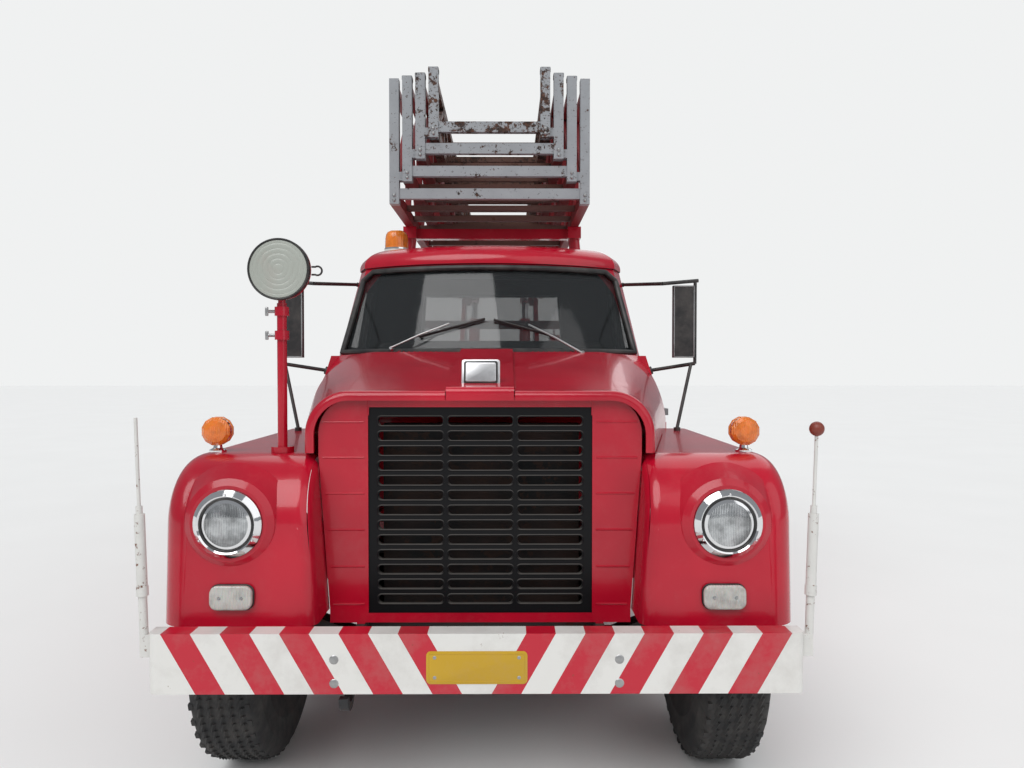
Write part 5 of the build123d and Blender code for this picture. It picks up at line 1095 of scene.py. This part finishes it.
def cushion(name, low, high, crown, channels, body="chassis"):
    """A stuffed pad with a crowned top, drawn-in sides and sewn channels across it."""
    low, high = Vector(low), Vector(high)
    middle, size = (low + high) / 2, (high - low)
    piece = Piece(name, "seat")
    bmesh.ops.create_cube(piece.form, size=2)
    bmesh.ops.subdivide_edges(piece.form, edges=piece.form.edges[:], cuts=23, use_grid_fill=True)
    deep = min(range(3), key=lambda i: size[i])
    wide = [i for i in range(3) if i != deep]
    for vert in piece.form.verts:
        spot = vert.co.copy()
        u, v = spot[wide[0]], spot[wide[1]]
        bulge = (1 - u ** 4) * (1 - v ** 4)
        level = spot[deep]
        place = spot.copy()
        for i in range(3):
            others = [spot[j] for j in range(3) if j != i]
            place[i] *= math.sqrt(1 - 0.10 * others[0] ** 8 - 0.10 * others[1] ** 8)
        place[deep] = level * (1 - crown + crown * bulge)
        if level > 0.5:
            for channel in channels:
                place[deep] -= 0.16 * math.exp(-(((u - channel) / 0.022) ** 2)) * (1 - v ** 8)
        draw = 1 - 0.018 * (1 - level ** 2)
        place[wide[0]] *= draw
        place[wide[1]] *= draw
        vert.co = Vector(middle[i] + place[i] * size[i] / 2 for i in range(3))
    shown = piece.show(body, smooth=60)
    smooth = shown.modifiers.new("smooth", "SUBSURF")
    smooth.levels = 1
    smooth.render_levels = 1
    return shown


def make_seat():
    """Bench seat: cushion and backrest with sewn channels and a piped front edge."""
    low, high = corners_of("bench_seat")
    top = low.z + 0.140
    channels = [-0.75, -0.5, -0.25, 0.0, 0.25, 0.5, 0.75]
    seat = cushion("seat_cushion", low, (high.x, high.y, top), 0.10, channels)
    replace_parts(seat, "bench_seat")
    cushion("seat_backrest", (-0.68, high.y - 0.120, top), (0.68, high.y, high.z), 0.12, channels)
    piping = Piece("seat_piping", "trim")
    back, front = (high.y - 0.12, top - 0.016), (low.y + 0.012, top - 0.018)
    piping.pipe([(-0.725, *back), (-0.725, *front), (0.725, *front), (0.725, *back)], 0.006)
    piping.show()


def make_dials():
    """Two plain round dials with tick marks, in the dash before the driver."""
    back = BUMPER_Y + 1.500
    piece = Piece("dash_dials", "chrome", "trim", "white")
    for x in (0.32, 0.46):
        centre = (x, back, 1.512)
        piece.group = 0
        bezel = [(0.047, -0.002), (0.052, 0.004), (0.050, 0.010), (0.045, 0.008)]
        piece.turned(bezel, centre, (0, 1, 0), 36)
        piece.group = 1
        piece.turned([(0, 0.004), (0.046, 0.004)], centre, (0, 1, 0), 36)
        piece.group = 2
        for step in range(11):
            turn = math.radians(-40 + 26 * step)
            way = Vector((math.cos(turn), 0, math.sin(turn)))
            mark = Vector(centre) + Vector((0, 0.005, 0))
            piece.bar(mark + way * 0.034, mark + way * 0.042, 0.001, sides=6)
    piece.show()


# Mirrors, body and ladder details


MIRROR_X = (0.900, 1.004)
MIRROR_Y = (-2.412, -2.382)
MIRROR_Z = (1.590, 1.940)


def make_mirror_rim(side, word):
    """Pale rim round the mirror head, and the mirror glass at its back."""
    x0, x1 = sorted((side * MIRROR_X[0], side * MIRROR_X[1]))
    y0, y1 = MIRROR_Y
    z0, z1 = MIRROR_Z
    piece = Piece("mirror_rim_" + word, "steel", "chrome")
    rim_x, rim_z = (x0 + 0.004, x1 - 0.004), (z0 + 0.004, z1 - 0.004)
    corners = [(rim_x[0], rim_z[0]), (rim_x[1], rim_z[0]), (rim_x[1], rim_z[1]), (rim_x[0], rim_z[1])]
    piece.pipe(dense([(x, y0, z) for x, z in corners], 0.05), 0.0035, True)
    piece.group = 1
    glass_low = (x0 + 0.006, y1 - 0.002, z0 + 0.006)
    piece.slab(glass_low, (x1 - 0.006, y1 + 0.002, z1 - 0.006), 0.001, 1, 0.012, 1)
    piece.show()


def make_locker_trim(side, word):
    """Pressed panel, rounded edge trim and two turning latches on each locker door."""
    for place in ("front", "rear"):
        node = "locker_door_%s_%s" % (word, place)
        low, high = corners_of(node)
        x = side * 1.080
        piece = Piece(node + "_panel", "red", "chrome")
        x0, x1 = sorted((x - side * 0.002, x + side * 0.004))
        piece.slab((x0, low.y + 0.09, low.z + 0.10), (x1, high.y - 0.09, high.z - 0.14), 0.003, 2, 0.05, 0)
        piece.group = 1
        for y in (low.y + 0.30, high.y - 0.30):
            base = Vector((x, y, high.z - 0.075))
            piece.turned([(0, 0.010), (0.022, 0.008), (0.026, 0.0)], base, (side, 0, 0), 20)
            inner, outer = sorted((0, side * 0.010))
            piece.slab(base + Vector((inner, -0.022, -0.005)), base + Vector((outer, 0.022, 0.005)), 0.002)
        piece.show(node)


def make_step_plates(side, word):
    """Tread plate on the step, and a filler cap on the left tank."""
    low, high = corners_of("cab_steps")
    piece = Piece("step_plate_" + word, "step", "chrome")
    x0, x1 = sorted((side * 0.60, side * 0.957))
    piece.slab((x0, low.y + 0.02, 0.7595), (x1, high.y - 0.02, 0.7635), 0.001)
    if side > 0:
        piece.group = 1
        cap = [(0, 0.022), (0.030, 0.020), (0.036, 0.012), (0.036, 0.0)]
        piece.turned(cap, (0.960, low.y + 0.15, 0.66), (1, 0, 0), 28)
    piece.show()


def make_levers():
    """Control levers and a plain gauge on the ladder operator's desk."""
    piece = Piece("desk_levers", "black", "chrome", "white")
    for step in range(4):
        foot = Vector((0.61, 2.32 + 0.06 * step, 1.900))
        top = foot + Vector((0.0, -0.02, 0.095))
        piece.group = 1
        piece.bar(foot, top, 0.005)
        piece.group = 0
        piece.orb(top, 0.014)
    piece.group = 1
    bezel = [(0.034, 0.0), (0.038, 0.006), (0.036, 0.012), (0.032, 0.010)]
    piece.turned(bezel, (0.61, 2.53, 1.899), (0, 0, 1), 30)
    piece.group = 2
    piece.turned([(0, 0.007), (0.033, 0.007)], (0.61, 2.53, 1.899), (0, 0, 1), 30)
    piece.show("turntable")


def make_ladder_caps():
    """Dark caps on the tops of the front posts, and bolts in the posts' feet."""
    for index, node in enumerate(("ladder_base", "ladder_2", "ladder_3", "ladder_4")):
        low, high = corners_of(node)
        piece = Piece(node + "_caps", "trim", "steel")
        for side in (1, -1):
            x = side * (high.x - 0.025)
            piece.group = 0
            top = high.z + (0.003 if index < 3 else 0.0)
            if index > 0:
                piece.slab((x - 0.027, low.y + 0.001, top - 0.025), (x + 0.027, low.y + 0.053, top), 0.004)
            piece.group = 1
            bolt = [(0, -0.007), (0.006, -0.006), (0.009, -0.002), (0.010, 0.0)]
            for z in (low.z + 0.02, low.z + 0.045):
                piece.turned(bolt, (x, low.y, z), (0, 1, 0), 12)
        piece.show(node)


make_world()
make_lights()
make_camera()
make_floor()
dress_nodes()
for tyre_node in TYRES:
    make_tyre(tyre_node)
make_plate()
make_bumper_bolts()
make_hood_plate()
make_surround_lines()
make_grille_rims()
make_cowl_vents()
make_wipers()
make_window_rubbers()
make_searchlight_parts()
make_beacon_shape()
make_seat()
make_dials()
make_levers()
make_ladder_caps()
for make in (
    make_wheel_trim,
    make_headlamp,
    make_parking_lamp,
    make_turn_signal,
    make_tail_lamp,
    make_door_trim,
    make_mirror_rim,
    make_locker_trim,
    make_step_plates,
):
    mirrored(make)
hide_replaced_lamps()

scene = bpy.context.scene
scene.view_settings.view_transform = "Standard"
